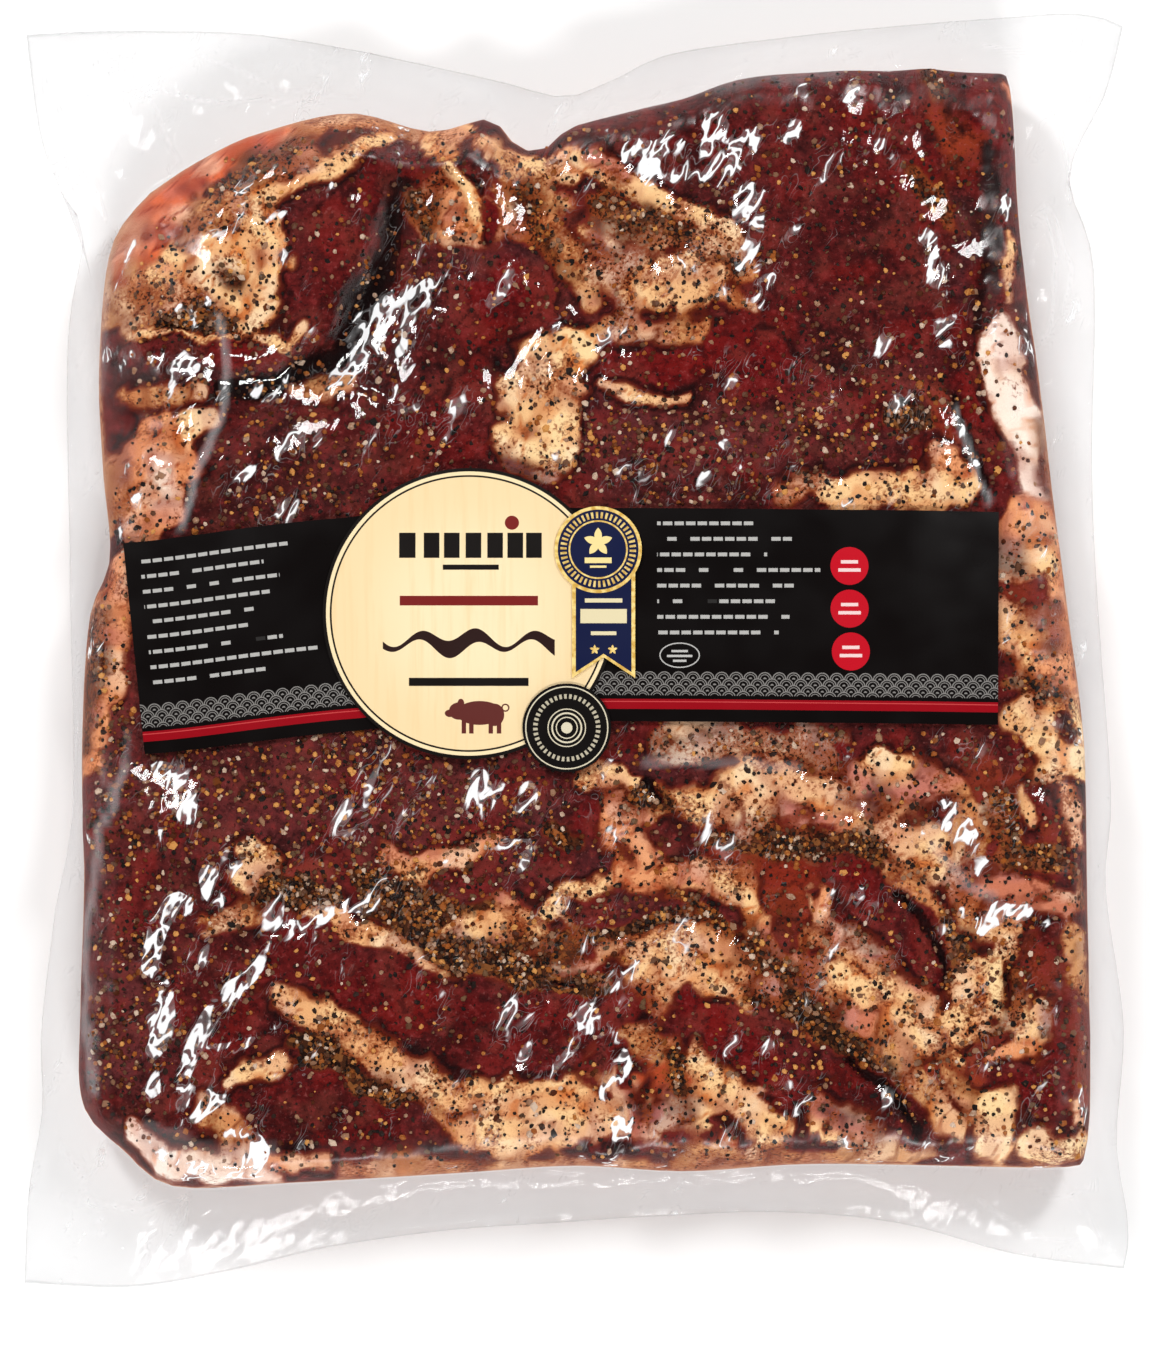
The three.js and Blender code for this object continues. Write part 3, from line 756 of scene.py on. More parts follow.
# Where the lean is dusted most with fine spice: half-width, then the points of the middle line.
DUSTED = (
    (26, (-112, -36), (-72, -42), (-30, -50)),
    (9, (-90, 26), (-66, 40)),
    (10, (8, 50), (50, 54), (88, 66)),
    (14, (-122, -70), (-120, -110)),
)
DUSTED_LEAN = (106, 48, 48)

# Slow drifts of colour over all the meat: which tint, lump size, seed, strength and colour.
DRIFTS = (
    ("fat_tint", 9, 56, 0.45, (168, 84, 44)),
    ("fat_tint", 7, 57, 0.3, (240, 204, 172)),
    ("fat_tint", 6, 58, 0.42, (150, 84, 78)),
    ("lean_tint", 17, 59, 0.6, (84, 29, 28)),
    ("lean_tint", 12, 61, 0.6, (42, 12, 11)),
    ("lean_tint", 8, 62, 0.5, (116, 20, 16)),
    ("lean_tint", 5, 63, 0.3, (124, 56, 46)),
)


def rough_noise(x, y, seed):
    """A ragged shift in millimetres, of large and small lumps together."""
    sizes = ((15, 2.2), (7, 1.3), (3.2, 0.6), (1.8, 0.3))
    return sum(reach * soft_noise(x, y, size, seed + n) for n, (size, reach) in enumerate(sizes))


def tint(colour):
    """A colour given as on a screen, as three linear numbers in an array."""
    return np.array(srgb(*colour)[:3])


def tinted(tints, share, colour):
    """The tints with the colour blended in by each one's share."""
    return tints + share[..., None] * (tint(colour) - tints)


def marbling(top, x, y, wx, wy):
    """Patches of lean and of fats of several colours, and how far later strokes cover them."""
    share = np.zeros(x.shape)
    for half, *points in MARBLED:
        share = np.maximum(share, smooth(half + 4, half - 4, line_distance(wx, wy, points)))
    along_grain = (wx * 0.85 - wy * 0.53) / 2.4
    across_grain = wx * 0.53 + wy * 0.85
    lean = smooth(-0.1, 0.5, soft_noise(along_grain, across_grain, 5, 41) + 0.5 * soft_noise(wx, wy, 3, 42))
    top["lean"] += share * (lean - top["lean"])
    top["lean_tint"] = tinted(top["lean_tint"], share, MARBLE_LEAN)
    fats = np.tile(tint(TISSUES["cream"][1]), (*x.shape, 1))
    for n, name in enumerate(MARBLE_TINTS):
        part = smooth(0.05, 0.35, soft_noise(along_grain, across_grain, 4.5, 43 + n))
        fats = tinted(fats, part, TISSUES[name][1])
    top["fat_tint"] += share[..., None] * (fats - top["fat_tint"])
    top["rise"] += share * (1.2 * (1 - lean) + 0.5 * soft_noise(along_grain, across_grain, 4, 50))
    return 1 - 0.5 * share * smooth(0.1, 0.5, soft_noise(along_grain, across_grain, 4, 48))


def paint_slab(x, y):
    """What lies at each point of the slab's top: lean, tints, spice, painted fold shade and how far it
    stands up.
    """
    wx = x + rough_noise(x, y, 1)
    wy = y + rough_noise(x, y, 5)
    width = 1 + 0.3 * soft_noise(x, y, 8, 9) + 0.2 * soft_noise(x, y, 3.4, 10)
    shape = x.shape
    top = {
        "lean": np.ones(shape),
        "spice": np.full(shape, 0.12),
        "dark": np.zeros(shape),
        "rise": np.zeros(shape),
        "fat_tint": np.tile(tint(FAT_BASE), (*shape, 1)),
        "lean_tint": np.tile(tint(LEAN_BASE), (*shape, 1)),
    }
    held = marbling(top, x, y, wx, wy)
    for tissue, half, *points in STROKES:
        lean, colour, rise, spice = TISSUES[tissue]
        reach = 1.6 * half + 4
        low, high = np.min(points, axis=0) - reach, np.max(points, axis=0) + reach
        near = np.nonzero((wx > low[0]) & (wx < high[0]) & (wy > low[1]) & (wy < high[1]))
        to_end = np.minimum(*[np.hypot(wx[near] - ex, wy[near] - ey) for ex, ey in (points[0], points[-1])])
        spread = width[near] * (1 if lean else FAT_SPREAD) * (0.62 + 0.38 * smooth(0, 12, to_end))
        away = line_distance(wx[near], wy[near], points) / spread
        soft = min(EDGE_SOFTNESS, 0.6 * half)
        share = smooth(half + soft, half - soft, away) * held[near]
        for key, value in (("lean", lean), ("spice", spice)):
            top[key][near] += share * (value - top[key][near])
        rim = smooth(half + 2.2, half + 0.4, away) * held[near]
        top["rise"][near] -= (0.3 if lean else 0.9) * rim * min(max(rise, 0), 1)
        crown = rise * np.sqrt(1 - 0.85 * np.clip(away / half, 0, 1) ** 2) if rise > 0 else rise
        top["rise"][near] += share * (crown - top["rise"][near])
        # Painted shade: the folds are darkened in the meat's colour.
        if tissue in FOLD_SHADE:
            fold = FOLD_SHADE[tissue] * smooth(half + 2, half - 4, away)
            top["dark"][near] = np.maximum(top["dark"][near], fold)
        tints = top["lean_tint" if lean else "fat_tint"]
        tints[near] = tinted(tints[near], smooth(half + 3, half - 1, away), colour)
    top["dusted"] = np.zeros(shape)
    for half, *points in DUSTED:
        top["dusted"] = np.maximum(top["dusted"], smooth(half + 9, half - 9, line_distance(wx, wy, points)))
    top["lean_tint"] = tinted(top["lean_tint"], 0.5 * top["dusted"], DUSTED_LEAN)
    for key, size, seed, strength, colour in DRIFTS:
        part = strength * smooth(0.05, 0.6, soft_noise(wx, wy, size, seed))
        top[key] = tinted(top[key], part, colour)
    fat = 1 - top["lean"]
    lumps = 0.5 * soft_noise(x, y, 6, 51) + 0.35 * soft_noise(x, y, 3.2, 52)
    lumps += 0.15 * soft_noise(x, y, 1.8, 53)
    top["rise"] += lumps * (0.6 + 0.6 * fat)
    seam = np.abs(soft_noise(wx * 0.8, wy, 7, 54) + 0.4 * soft_noise(wx, wy, 3.6, 55))
    top["crevice"] = smooth(0.11, 0.0, seam) * (0.25 + 0.75 * fat)
    top["rise"] -= 0.7 * top["crevice"]
    return top


def relief_under_film(x, y, top):
    """How far the meat stands up; under the labels it is pressed flat."""
    return np.clip(top["rise"], -2.4, 2.4) * smooth(-1, 5, outside_labels(x, y))


# Below the seam: how far each ring lies inside the slab's outline and how high, in millimetres.
# The base's last rings have a negative number, the share of the outline that they keep.
LOWER_RINGS = (
    (0.6, 12.5), (1.0, 10.0), (2.2, 6.0), (4.2, 2.8), (7.0, 1.1), (10.0, 0.6),
    (-0.8, 0.5), (-0.5, 0.5), (-0.2, 0.5), (-0.02, 0.5),
)


def meat_points(column, row, ring, surface, top):
    """The slab's points: its top and upper wall, its lower wall, and its flat base."""
    x, y, height, rounded = surface
    meat = height - FILM_GAP + relief_under_film(x, y, top) * smooth(0.3, 0.9, rounded)
    meat = SEAM_HEIGHT + (meat - SEAM_HEIGHT) * rounded
    points = np.stack([x[column, row], y[column, row], meat[column, row]], axis=-1)
    rings = np.maximum(ring, 0)
    inset = np.interp(rings, range(len(LOWER_RINGS)), [r[0] for r in LOWER_RINGS])
    lowered = np.interp(rings, range(len(LOWER_RINGS)), [r[1] for r in LOWER_RINGS])
    reach = np.hypot(points[:, 0], points[:, 1])
    shrink = 1 - (inset + 0.6 * (ring == 0)) / np.maximum(reach, 1)
    shrink = np.where(inset < 0, -inset, shrink)
    outer = (ring > 0) | (rounded[column, row] < 1e-6)
    points[:, :2] *= np.where(outer, shrink, 1)[:, None]
    points[:, 2] = np.where(ring > 0, lowered, points[:, 2])
    return points


meat_form, meat_column, meat_row, meat_ring = sheet_form(MEAT_COLUMNS, MEAT_ROWS, len(LOWER_RINGS) - 1)
meat_surface = film_surface(MEAT_COLUMNS, MEAT_ROWS)
meat_top = paint_slab(meat_surface[0], meat_surface[1])
meat_spots = meat_points(meat_column, meat_row, meat_ring, meat_surface, meat_top)
meat_mesh = sheet_mesh("pancetta", meat_form, meat_spots)
meat_relief = relief_under_film(meat_surface[0], meat_surface[1], meat_top)
# How sunken each point lies against its neighbours, crevices included: the meat's material paints shade
# into the hollows and light onto the crowns by it, and spice gathers by it.
meat_hollow = 0.5 + (soften(meat_relief, 4) - meat_relief) * 0.6
meat_top["hollow"] = np.clip(np.maximum(meat_hollow, meat_top["crevice"] * 0.9), 0, 1)
cloud_parts = [weight * soft_noise(meat_surface[0], meat_surface[1], size, 60 + size)
               for size, weight in ((5, 0.35), (11, 0.3))]
meat_top["cloud"] = np.clip(0.5 + sum(cloud_parts), 0, 1)

# On the sides the belly's layers show, fat and lean by turns.
LAYER = 19  # one of fat and one of lean together, in millimetres
LOWEST_LEAN = 6.5
SIDE_LOOK = {
    "spice": 0.1,
    "dark": 0,
    "hollow": 0.5,
    "fat_tint": (190, 136, 102),
    "lean_tint": (92, 26, 22),
}

side_x, side_y, side_z = meat_spots.T
side_share = np.where(meat_ring > 0, 1, smooth(0.6, 0.15, meat_surface[3][meat_column, meat_row]))
side_level = (side_z - LOWEST_LEAN) / LAYER + 0.16 * soft_noise(side_x, side_y, 26, 71)
side_level += 0.08 * soft_noise(side_x, side_y, 8, 72)
side_lean = smooth(0.2, 0.7, np.cos(2 * np.pi * side_level))
for key in ("lean", "spice", "dark", "hollow", "cloud", "fat_tint", "lean_tint"):
    numbers = meat_top[key][meat_column, meat_row]
    share, aim = side_share, SIDE_LOOK.get(key, numbers)
    if numbers.ndim > 1:
        share, aim = share[:, None], tint(aim)
    if key == "lean":
        aim = side_lean
    set_attribute(meat_mesh, key, numbers + share * (aim - numbers))


def cured_meat():
    """Lean and fat in ragged patches, each mottled, stained where they meet, dusted with pepper, with
    painted light and shade.
    """
    look = Finish(bpy.data.materials.new("cured_meat"))
    at = look.place()
    hollow = look.attribute("hollow")
    cloud = look.attribute("cloud")
    ragged = look.noise(at, 2.6, detail=3, roughness=0.62)
    fine = look.noise(at, 1.0, detail=1, roughness=0.6, distortion=0.5)
    edge = look.attribute("lean") + (ragged - 0.5) * 0.7
    lean = edge.rise(0.4, 0.62)

    # Painted light and shade on the fat: the first colour lightens its raised crowns as a painted
    # highlight, the second darkens its hollows as painted shade.
    crown, painted_hollow_shade = (0.95, 0.95, 0.95, 1), (0.1, 0.07, 0.05, 1)
    fat = look.blend(hollow.rise(0.5, 0.25) * 0.9, look.attribute("fat_tint", "Color"), crown, "SOFT_LIGHT")
    stained = fine * 0.6 + cloud * 0.35 + ragged * 0.35 + look.attribute("spice") * 0.4
    fat = look.blend(stained.rise(0.64, 0.86) * 0.85, fat, srgb(146, 68, 30))
    fat = look.blend(edge.rise(0.1, 0.42) * 0.8, fat, srgb(122, 44, 22))
    fat = look.blend(hollow.rise(0.5, 0.9) * 0.9, fat, painted_hollow_shade, "SOFT_LIGHT")
    specks = fine + cloud * 0.25 + look.attribute("spice") * 0.3
    fat = look.blend(specks.rise(0.84, 0.89) * 0.9, fat, srgb(38, 16, 9))

    flesh = look.attribute("lean_tint", "Color")
    flesh = look.blend(ragged.rise(0.5, 0.72) * 0.5, flesh, srgb(136, 44, 44))
    flesh = look.blend(ragged.rise(0.5, 0.34) * 0.6, flesh, srgb(34, 6, 8))
    flesh = look.blend(fine.rise(0.36, 0.26) * 0.2, flesh, srgb(168, 98, 94))
    flesh = look.blend(fine.rise(0.63, 0.71) * 0.6, flesh, srgb(22, 8, 8))
    # Painted shade: the lean darkens towards black in its hollows.
    flesh = look.blend(hollow.rise(0.52, 0.85) * 0.8, flesh, srgb(18, 4, 5))
    flesh = look.blend(edge.rise(0.9, 0.62) * 0.5, flesh, srgb(112, 34, 20))
    colour = look.blend(lean, fat, flesh)

    spice = (look.attribute("spice") + (ragged - 0.5) * 1.2).rise(0.35, 0.75)
    grit = look.node("SeparateColor", {}, {"Color": look.cells(at, 1.3)}, out="Red")
    crumb = look.blend(grit.rise(0.35, 0.5), srgb(16, 9, 6), srgb(64, 34, 18))
    crumb = look.blend(grit.rise(0.72, 0.8), crumb, srgb(132, 80, 40))
    colour = look.blend(spice * 0.8, colour, crumb)
    # Painted shade where the folds between muscles lie.
    colour = look.blend(look.attribute("dark") * 0.95, colour, srgb(14, 5, 5))

    shader = look.node("BsdfPrincipled", {}, {
        "Base Color": colour,
        "Roughness": 0.5,
        "Specular IOR Level": 0.03,
        "Normal": look.bump(fine, 0.35),
    })
    return look.finish(shader)


add_piece("pancetta", meat_mesh, cured_meat(), ["pouch"])

# ----------------------------------------------------------------------------------------------
# The rub: cracked black pepper, golden seeds and crushed garlic, pressed into the meat before it
# dried. The pepper lies everywhere, and the rest mostly in the hollows between the muscles.

GRAIN_CLEAR = 1.0  # the grains thin out over this distance from the labels, in millimetres
LEAST_GRAIN = 0.2  # radius in millimetres
LARGEST_GRAIN = 2.6  # times the middle radius


def on_meat(grid):
    """The sheet's numbers as a grid of columns and rows."""
    made = np.zeros((MEAT_COLUMNS + 1, MEAT_ROWS + 1, *grid.shape[1:]))
    top_only = meat_ring == 0
    made[meat_column[top_only], meat_row[top_only]] = grid[top_only]
    return made


meat_grid = on_meat(meat_spots)


def scatter(chance, count, random):
    """Places on the slab's top, drawn by the chance of each cell, and the surface's normals there."""
    step_u, step_v = np.diff(meat_grid, axis=0)[:, :-1], np.diff(meat_grid, axis=1)[:-1]
    cross = np.cross(step_u, step_v)
    area = np.linalg.norm(cross, axis=-1)
    weight = (chance[:-1, :-1] * area).ravel()
    cell = random.choice(weight.size, count, p=weight / weight.sum())
    i, j = np.divmod(cell, area.shape[1])
    s, t = random.uniform(0, 1, (2, count))[..., None]
    places = meat_grid[i, j] + s * step_u[i, j] + t * step_v[i, j]
    return places, cross[i, j] / area[i, j][:, None]


def turned(vectors, random):
    """Each set of vectors turned its own random way."""
    q = random.normal(size=(len(vectors), 4))
    w, x, y, z = (q / np.linalg.norm(q, axis=1)[:, None]).T
    turn = np.array([
        [1 - 2 * (y * y + z * z), 2 * (x * y - z * w), 2 * (x * z + y * w)],
        [2 * (x * y + z * w), 1 - 2 * (x * x + z * z), 2 * (y * z - x * w)],
        [2 * (x * z - y * w), 2 * (y * z + x * w), 1 - 2 * (x * x + y * y)],
    ])
    return np.einsum("abn,nvb->nva", turn, vectors)


def grains(name, chance, count, radius, spread, roundness, seed):
    """One mesh of many grains: radius is the middle one, and spread how unequal they are."""
    random = np.random.default_rng(seed)
    places, normals = scatter(chance, count, random)
    form = bmesh.new()
    bmesh.ops.create_icosphere(form, subdivisions=1, radius=1)
    ball = np.array([v.co for v in form.verts])
    faces = np.array([[v.index for v in f.verts] for f in form.faces])
    form.free()
    size = np.clip(radius * np.exp(spread * random.normal(size=count)), LEAST_GRAIN, LARGEST_GRAIN * radius)
    lumps = ball[None] * random.uniform(roundness, 1.1, (count, len(ball), 1))
    lumps = lumps * random.uniform(roundness, 1.15, (count, 1, 3))
    lumps = turned(lumps, random) * size[:, None, None]
    sunk = np.minimum(0.15 * size, 0.8 - size)
    spots = (places + normals * sunk[:, None])[:, None] + lumps
    mesh = bpy.data.meshes.new(name)
    corners = faces[None] + len(ball) * np.arange(count)[:, None, None]
    mesh.from_pydata(spots.reshape(-1, 3) * MM, [], corners.reshape(-1, 3).tolist())
    set_attribute(mesh, "tint", np.repeat(random.uniform(0, 1, count), len(ball)))
    return mesh


def spice_finish(name, dark, middle, light, roughness):
    """Grains of three colours, mottled."""
    look = Finish(bpy.data.materials.new(name))
    tint = look.attribute("tint")
    mottle = look.noise(look.place(), 0.5, detail=1)
    colour = look.blend(tint.rise(0.2, 0.6), srgb(*dark), srgb(*middle))
    colour = look.blend((tint + mottle * 0.3).rise(0.85, 1.1), colour, srgb(*light))
    shader = look.node("BsdfPrincipled", {}, {
        "Base Color": colour,
        "Roughness": roughness,
        "Specular IOR Level": 0.08,
    })
    return look.finish(shader)


label_clear = smooth(0, GRAIN_CLEAR, outside_labels(meat_surface[0], meat_surface[1]))
edge_clear = smooth(0.75, 0.95, meat_surface[3])
open_top = label_clear * edge_clear
heaped = smooth(-0.7, 0.5, soft_noise(meat_surface[0], meat_surface[1], 5, 12))
spice_map = smooth(0.2, 0.9, meat_top["spice"]) * (0.4 + 1.2 * meat_top["hollow"]) * heaped
fat_map = 1 - meat_top["lean"]
bare = np.clip(1 + 3 * meat_top["spice"], 0.1, 1)
dusted = meat_top["dusted"]
patchy = smooth(-0.5, 0.8, soft_noise(meat_surface[0], meat_surface[1], 16, 11))

pepper_chance = 0.5 + 0.3 * fat_map + 0.5 * dusted + 4 * spice_map
pepper_mesh = grains("black_pepper", open_top * bare * pepper_chance, count=7400, radius=0.6,
                     spread=0.5, roundness=0.6, seed=21)
add_piece("black_pepper", pepper_mesh,
          spice_finish("cracked_pepper", (24, 17, 15), (44, 28, 22), (104, 74, 50), 0.5))

golden_chance = 0.1 + 0.22 * patchy * (1 - fat_map) + 0.45 * dusted + 1.9 * spice_map
golden_mesh = grains("golden_grain", open_top * golden_chance, count=4000, radius=0.7,
                     spread=0.34, roundness=0.75, seed=22)
add_piece("golden_grain", golden_mesh,
          spice_finish("golden_seed", (74, 32, 14), (148, 80, 32), (206, 144, 78), 0.4))

pale_chance = 0.1 + 0.3 * patchy + 0.5 * dusted + 2.6 * spice_map
pale_mesh = grains("pale_grain", open_top * pale_chance, count=2700, radius=0.86,
                   spread=0.36, roundness=0.7, seed=23)
add_piece("pale_grain", pale_mesh,
          spice_finish("crushed_garlic", (92, 58, 40), (150, 110, 84), (206, 180, 158), 0.35))

# ----------------------------------------------------------------------------------------------
# The pouch: two sheets of clear film, sealed to each other round the meat and sucked down on it.
# The film bridges the hollows and puckers where it had to fold.

FILM_COLUMNS = 222
FILM_ROWS = 246
MARGIN_RINGS = 30
UNDER_RINGS = 7
FILM_WALL = ((0.0, 11.4), (0.2, 9.4), (1.4, 5.6), (3.4, 2.2), (6.2, 0.5), (9.6, 0.06))  # inset, height
FILM_BASE = (0.8, 0.5, 0.2, 0.02)  # shares of the outline
EDGE_HEIGHT = 6
EDGE_WAVE = 2.2
FILM_AIR = 0.5  # between the margin's two sheets

# Where the film puckers into folds that catch the light, with painted white highlights: half-width,
# strength, middle line.
PUCKERS = (
    (1.5, 0.8, (-78, 114), (-70, 118), (-66, 121)),
    (2.5, 0.5, (-97, 107), (-88, 111), (-84, 112)),
    (1.5, 0.9, (-106, 88), (-100, 82)),
    (1.5, 0.9, (-98, 90), (-95, 83)),
    (3, 0.8, (-118, 76), (-102, 74)),
    (4, 1.0, (-58, 82), (-50, 90), (-40, 94)),
    (9, 0.7, (-56, 80), (-44, 86)),
    (4, 0.8, (-84, 66), (-72, 70), (-60, 72), (-50, 68)),
    (3, 0.6, (-76, 54), (-70, 54), (-80, 50)),
    (2, 0.6, (-88, 44), (-84, 46)),
    (1.5, 0.6, (-50, 52), (-46, 52)),
    (6, 0.8, (18, 128), (28, 130), (38, 128)),
    (4, 1.0, (36, 138), (46, 134), (58, 138)),
    (1.5, 0.6, (60, 146), (78, 147)),
    (1.5, 0.6, (22, 116), (32, 118), (40, 114)),
    (4.5, 1.0, (47, 119), (46, 110), (47, 102)),
    (2, 0.7, (28, 102), (36, 94), (44, 90), (50, 90)),
    (2.5, 0.6, (50, 96), (58, 92)),
    (1.5, 0.6, (26, 77), (34, 77)),
    (2.5, 0.8, (84, 132), (88, 126)),
    (2.5, 1.0, (95, 108), (98, 98), (100, 92), (97, 84), (100, 80), (103, 74)),
    (1.6, 0.8, (103, 60), (105, 50), (110, 38), (112, 32)),
    (1.4, 0.7, (116, 118), (117, 112)),
    (1.4, 0.6, (40, 52), (44, 46)),
    (1.4, 0.6, (36, 44), (32, 40)),
    (3, 0.9, (-112, -34), (-106, -40), (-104, -48)),
    (1.4, 0.7, (-111, -50), (-110, -58)),
    (2.5, 0.8, (-98, -65), (-96, -72)),
    (2.5, 0.8, (-105, -70), (-101, -78)),
    (2.4, 1.0, (-106, -70), (-111, -78), (-112, -88), (-110, -96), (-112, -104), (-112, -114),
     (-113, -120)),
    (2.6, 1.0, (-54, -71), (-62, -71), (-68, -75), (-78, -80), (-86, -90), (-94, -98), (-102, -108),
     (-105, -118), (-106, -124)),
    (1.6, 0.8, (-70, -80), (-80, -84), (-88, -94)),
    (1.6, 0.8, (-98, -104), (-100, -112), (-102, -120)),
    (1.6, 0.8, (-80, -104), (-88, -108), (-96, -110)),
    (1.6, 0.8, (-76, -112), (-79, -118)),
    (1.8, 0.8, (-92, -122), (-100, -126), (-106, -131)),
    (3.5, 1.0, (-112, -136), (-104, -142), (-92, -142), (-84, -140)),
    (1.6, 0.7, (-92, -133), (-82, -136), (-72, -136)),
    (4.5, 0.9, (-28, -36), (-26, -46), (-14, -42)),
    (1.8, 0.8, (-34, -60), (-26, -56), (-14, -55)),
    (3.4, 1.0, (10, -90), (6, -96), (4, -104), (9, -108), (12, -114), (10, -122), (12, -130)),
    (1.6, 0.6, (88, -30), (92, -36)),
    (4.4, 1.0, (100, -46), (104, -54), (108, -60)),
    (2.5, 0.8, (104, -74), (110, -78), (114, -74), (130, -76)),
    (1.6, 0.6, (70, -34), (74, -32)),
)

# Where the film doubles over or is creased, in faint milky lines that are partly painted highlights:
# half-width, strength, middle line.
VEILS = (
    (0.5, 1, (-140, 150), (-118, 152), (-96, 149), (-70, 148)),
    (0.4, 0.9, (-130, 158), (-116, 148), (-108, 132)),
    (0.5, 0.9, (-141, 138), (-132, 128), (-128, 116)),
    (0.4, 0.8, (-104, 163), (-84, 153), (-60, 150)),
    (0.5, 0.9, (126, 156), (134, 140), (136, 122)),
    (0.5, 0.9, (128, 118), (132, 106), (131, 92), (127, 82)),
    (0.4, 0.9, (130, 120), (135, 104), (134, 90)),
    (0.5, 0.9, (140, 150), (128, 160), (112, 164)),
    (0.5, 0.9, (-138, -150), (-120, -154), (-104, -150)),
    (0.5, 0.9, (-140, -136), (-132, -146), (-128, -160)),
    (0.4, 0.8, (108, -150), (120, -158), (134, -162)),
    (0.5, 0.9, (120, -146), (132, -150), (142, -146)),
    (0.4, 0.8, (128, -140), (138, -154), (142, -162)),
    (1.0, 1, (-95, 86), (-94, 74), (-94, 66), (-95, 62), (-100, 50), (-104, 38), (-107, 28)),
    (0.7, 1, (102, 62), (106, 50), (110, 38), (112, 30)),
    (1.1, 0.9, (-120, -25), (-122, -40), (-126, -50), (-129, -62), (-131, -80), (-131, -100), (-129, -122)),
    (2.5, 0.35, (10, 144), (30, 149), (50, 152), (70, 154)),
    (2, 0.4, (-126, 108), (-128, 90), (-130, 70)),
    (5, 0.35, (-112, -134), (-100, -140), (-84, -141)),
    (1.2, 0.5, (20, -33), (44, -34), (60, -36)),
    (1.4, 0.6, (96, -56), (104, -66), (112, -70)),
)


def film_marks(marks, x, y, spread):
    """How strongly the film is marked at each point, 0 to 1."""
    wx = x + 1.2 * soft_noise(x, y, 6, 31)
    wy = y + 1.2 * soft_noise(x, y, 6, 32)
    most = np.zeros(x.shape)
    for half, strength, *points in marks:
        low, high = np.min(points, axis=0) - half - 4, np.max(points, axis=0) + half + 4
        near = np.nonzero((wx > low[0]) & (wx < high[0]) & (wy > low[1]) & (wy < high[1]))
        away = line_distance(wx[near], wy[near], points)
        most[near] = np.maximum(most[near], strength * smooth(half + spread, half - spread, away))
    return most


def margin_height(x, y, share):
    """The margin hangs from the seam to its wavy outer edge."""
    wave = EDGE_WAVE * (np.sin(x / 15 + 0.6) + np.sin(y / 19 - x / 40)) * 0.5
    down = smooth(0, 1.25, share) * 1.12
    return SEAM_HEIGHT + (EDGE_HEIGHT + wave - SEAM_HEIGHT) * down


film_rings = MARGIN_RINGS + UNDER_RINGS + len(FILM_WALL) + len(FILM_BASE)
film_form, film_column, film_row, film_ring = sheet_form(FILM_COLUMNS, FILM_ROWS, film_rings)
film_x, film_y, film_top, film_rounded = film_surface(FILM_COLUMNS, FILM_ROWS)
film_shoulder = smooth(0, 0.03, soften(1 - film_rounded, 2))
open_film = smooth(0, 4, outside_labels(film_x, film_y))
film_pucker = film_marks(PUCKERS, film_x, film_y, 1.6) * open_film
# A low pucker everywhere, so that a few folds and painted highlights lie over all the meat.
ambient = 0.26 * smooth(-0.3, 0.7, soft_noise(film_x, film_y, 13, 39))
film_pucker = np.maximum(film_pucker, ambient * open_film)


def draped_film():
    """Heights of the film over the slab, in millimetres."""
    free = smooth(5, 12, outside_labels(film_x, film_y))
    under = relief_under_film(film_x, film_y, paint_slab(film_x, film_y))
    bridged = np.maximum(soften(film_top, 5) - film_top, 0)
    ridge = 1 - 2 * np.abs(soft_noise(film_x, film_y, 4.2, 33)) ** 0.6
    fine = 1 - 2 * np.abs(soft_noise(film_x, film_y, 2.6, 34)) ** 0.7
    folds = film_pucker * (0.5 * ridge + 0.3 * fine)
    lumps = (0.18 + 0.7 * film_shoulder) * soft_noise(film_x, film_y, 4.4, 35)
    top = film_top + 0.9 * soften(under, 2) + free * (0.5 * bridged + lumps + np.maximum(folds, -0.2) + 0.1)
    top = np.maximum(top, film_top + under - 0.4)
    return SEAM_HEIGHT + (top - SEAM_HEIGHT) * film_rounded


def film_points():
    """The pouch's points: over the slab, out along the margin, back beneath it, and under the slab."""
    over = np.stack([film_x, film_y, draped_film()], axis=-1)[film_column, film_row]
    foot = over[:, :2]
    u, v = grid_shares(FILM_COLUMNS)[film_column], grid_shares(FILM_ROWS)[film_row]
    rim = between_sides(rim_sides, u, v).T
    out = np.clip(film_ring / MARGIN_RINGS, 0, 1)
    back = np.clip((film_ring - MARGIN_RINGS) / UNDER_RINGS, 0, 1)
    share = out - back
    flat = foot + (rim - foot) * share[:, None]
    x, y = flat.T
    around = np.arctan2(foot[:, 1], foot[:, 0]) * 150
    radial = soft_noise(around, share * 14, 5, 36) + 0.6 * soft_noise(around, share * 20, 2.6, 37)
    strain = smooth(0, 0.12, share) * (0.75 - 0.45 * share)
    crumple = soft_noise(x, y, 9, 38) * smooth(0, 0.3, share) * 0.5
    height = margin_height(x, y, share) + strain * radial * 0.55 + crumple
    gap = FILM_AIR * (1 - 0.7 * share) + 0.5 * smooth(0.3, 0.0, share)
    height -= np.where(film_ring > MARGIN_RINGS, gap, 0)
    points = np.column_stack([x, y, np.where(film_ring == 0, over[:, 2], height)])

    beneath = film_ring - MARGIN_RINGS - UNDER_RINGS
    wall = np.clip(beneath - 1, 0, len(FILM_WALL) - 1)
    inset = np.array([w[0] for w in FILM_WALL])[wall]
    low = np.array([w[1] for w in FILM_WALL])[wall]
    keep = 1 - inset / np.hypot(*foot.T)
    base = np.clip(beneath - 1 - len(FILM_WALL), -1, len(FILM_BASE) - 1)
    keep = np.where(base >= 0, np.array(FILM_BASE)[base], keep)
    under = beneath > 0
    points[under, :2] = foot[under] * keep[under][:, None]
    points[under, 2] = low[under]
    return points, share


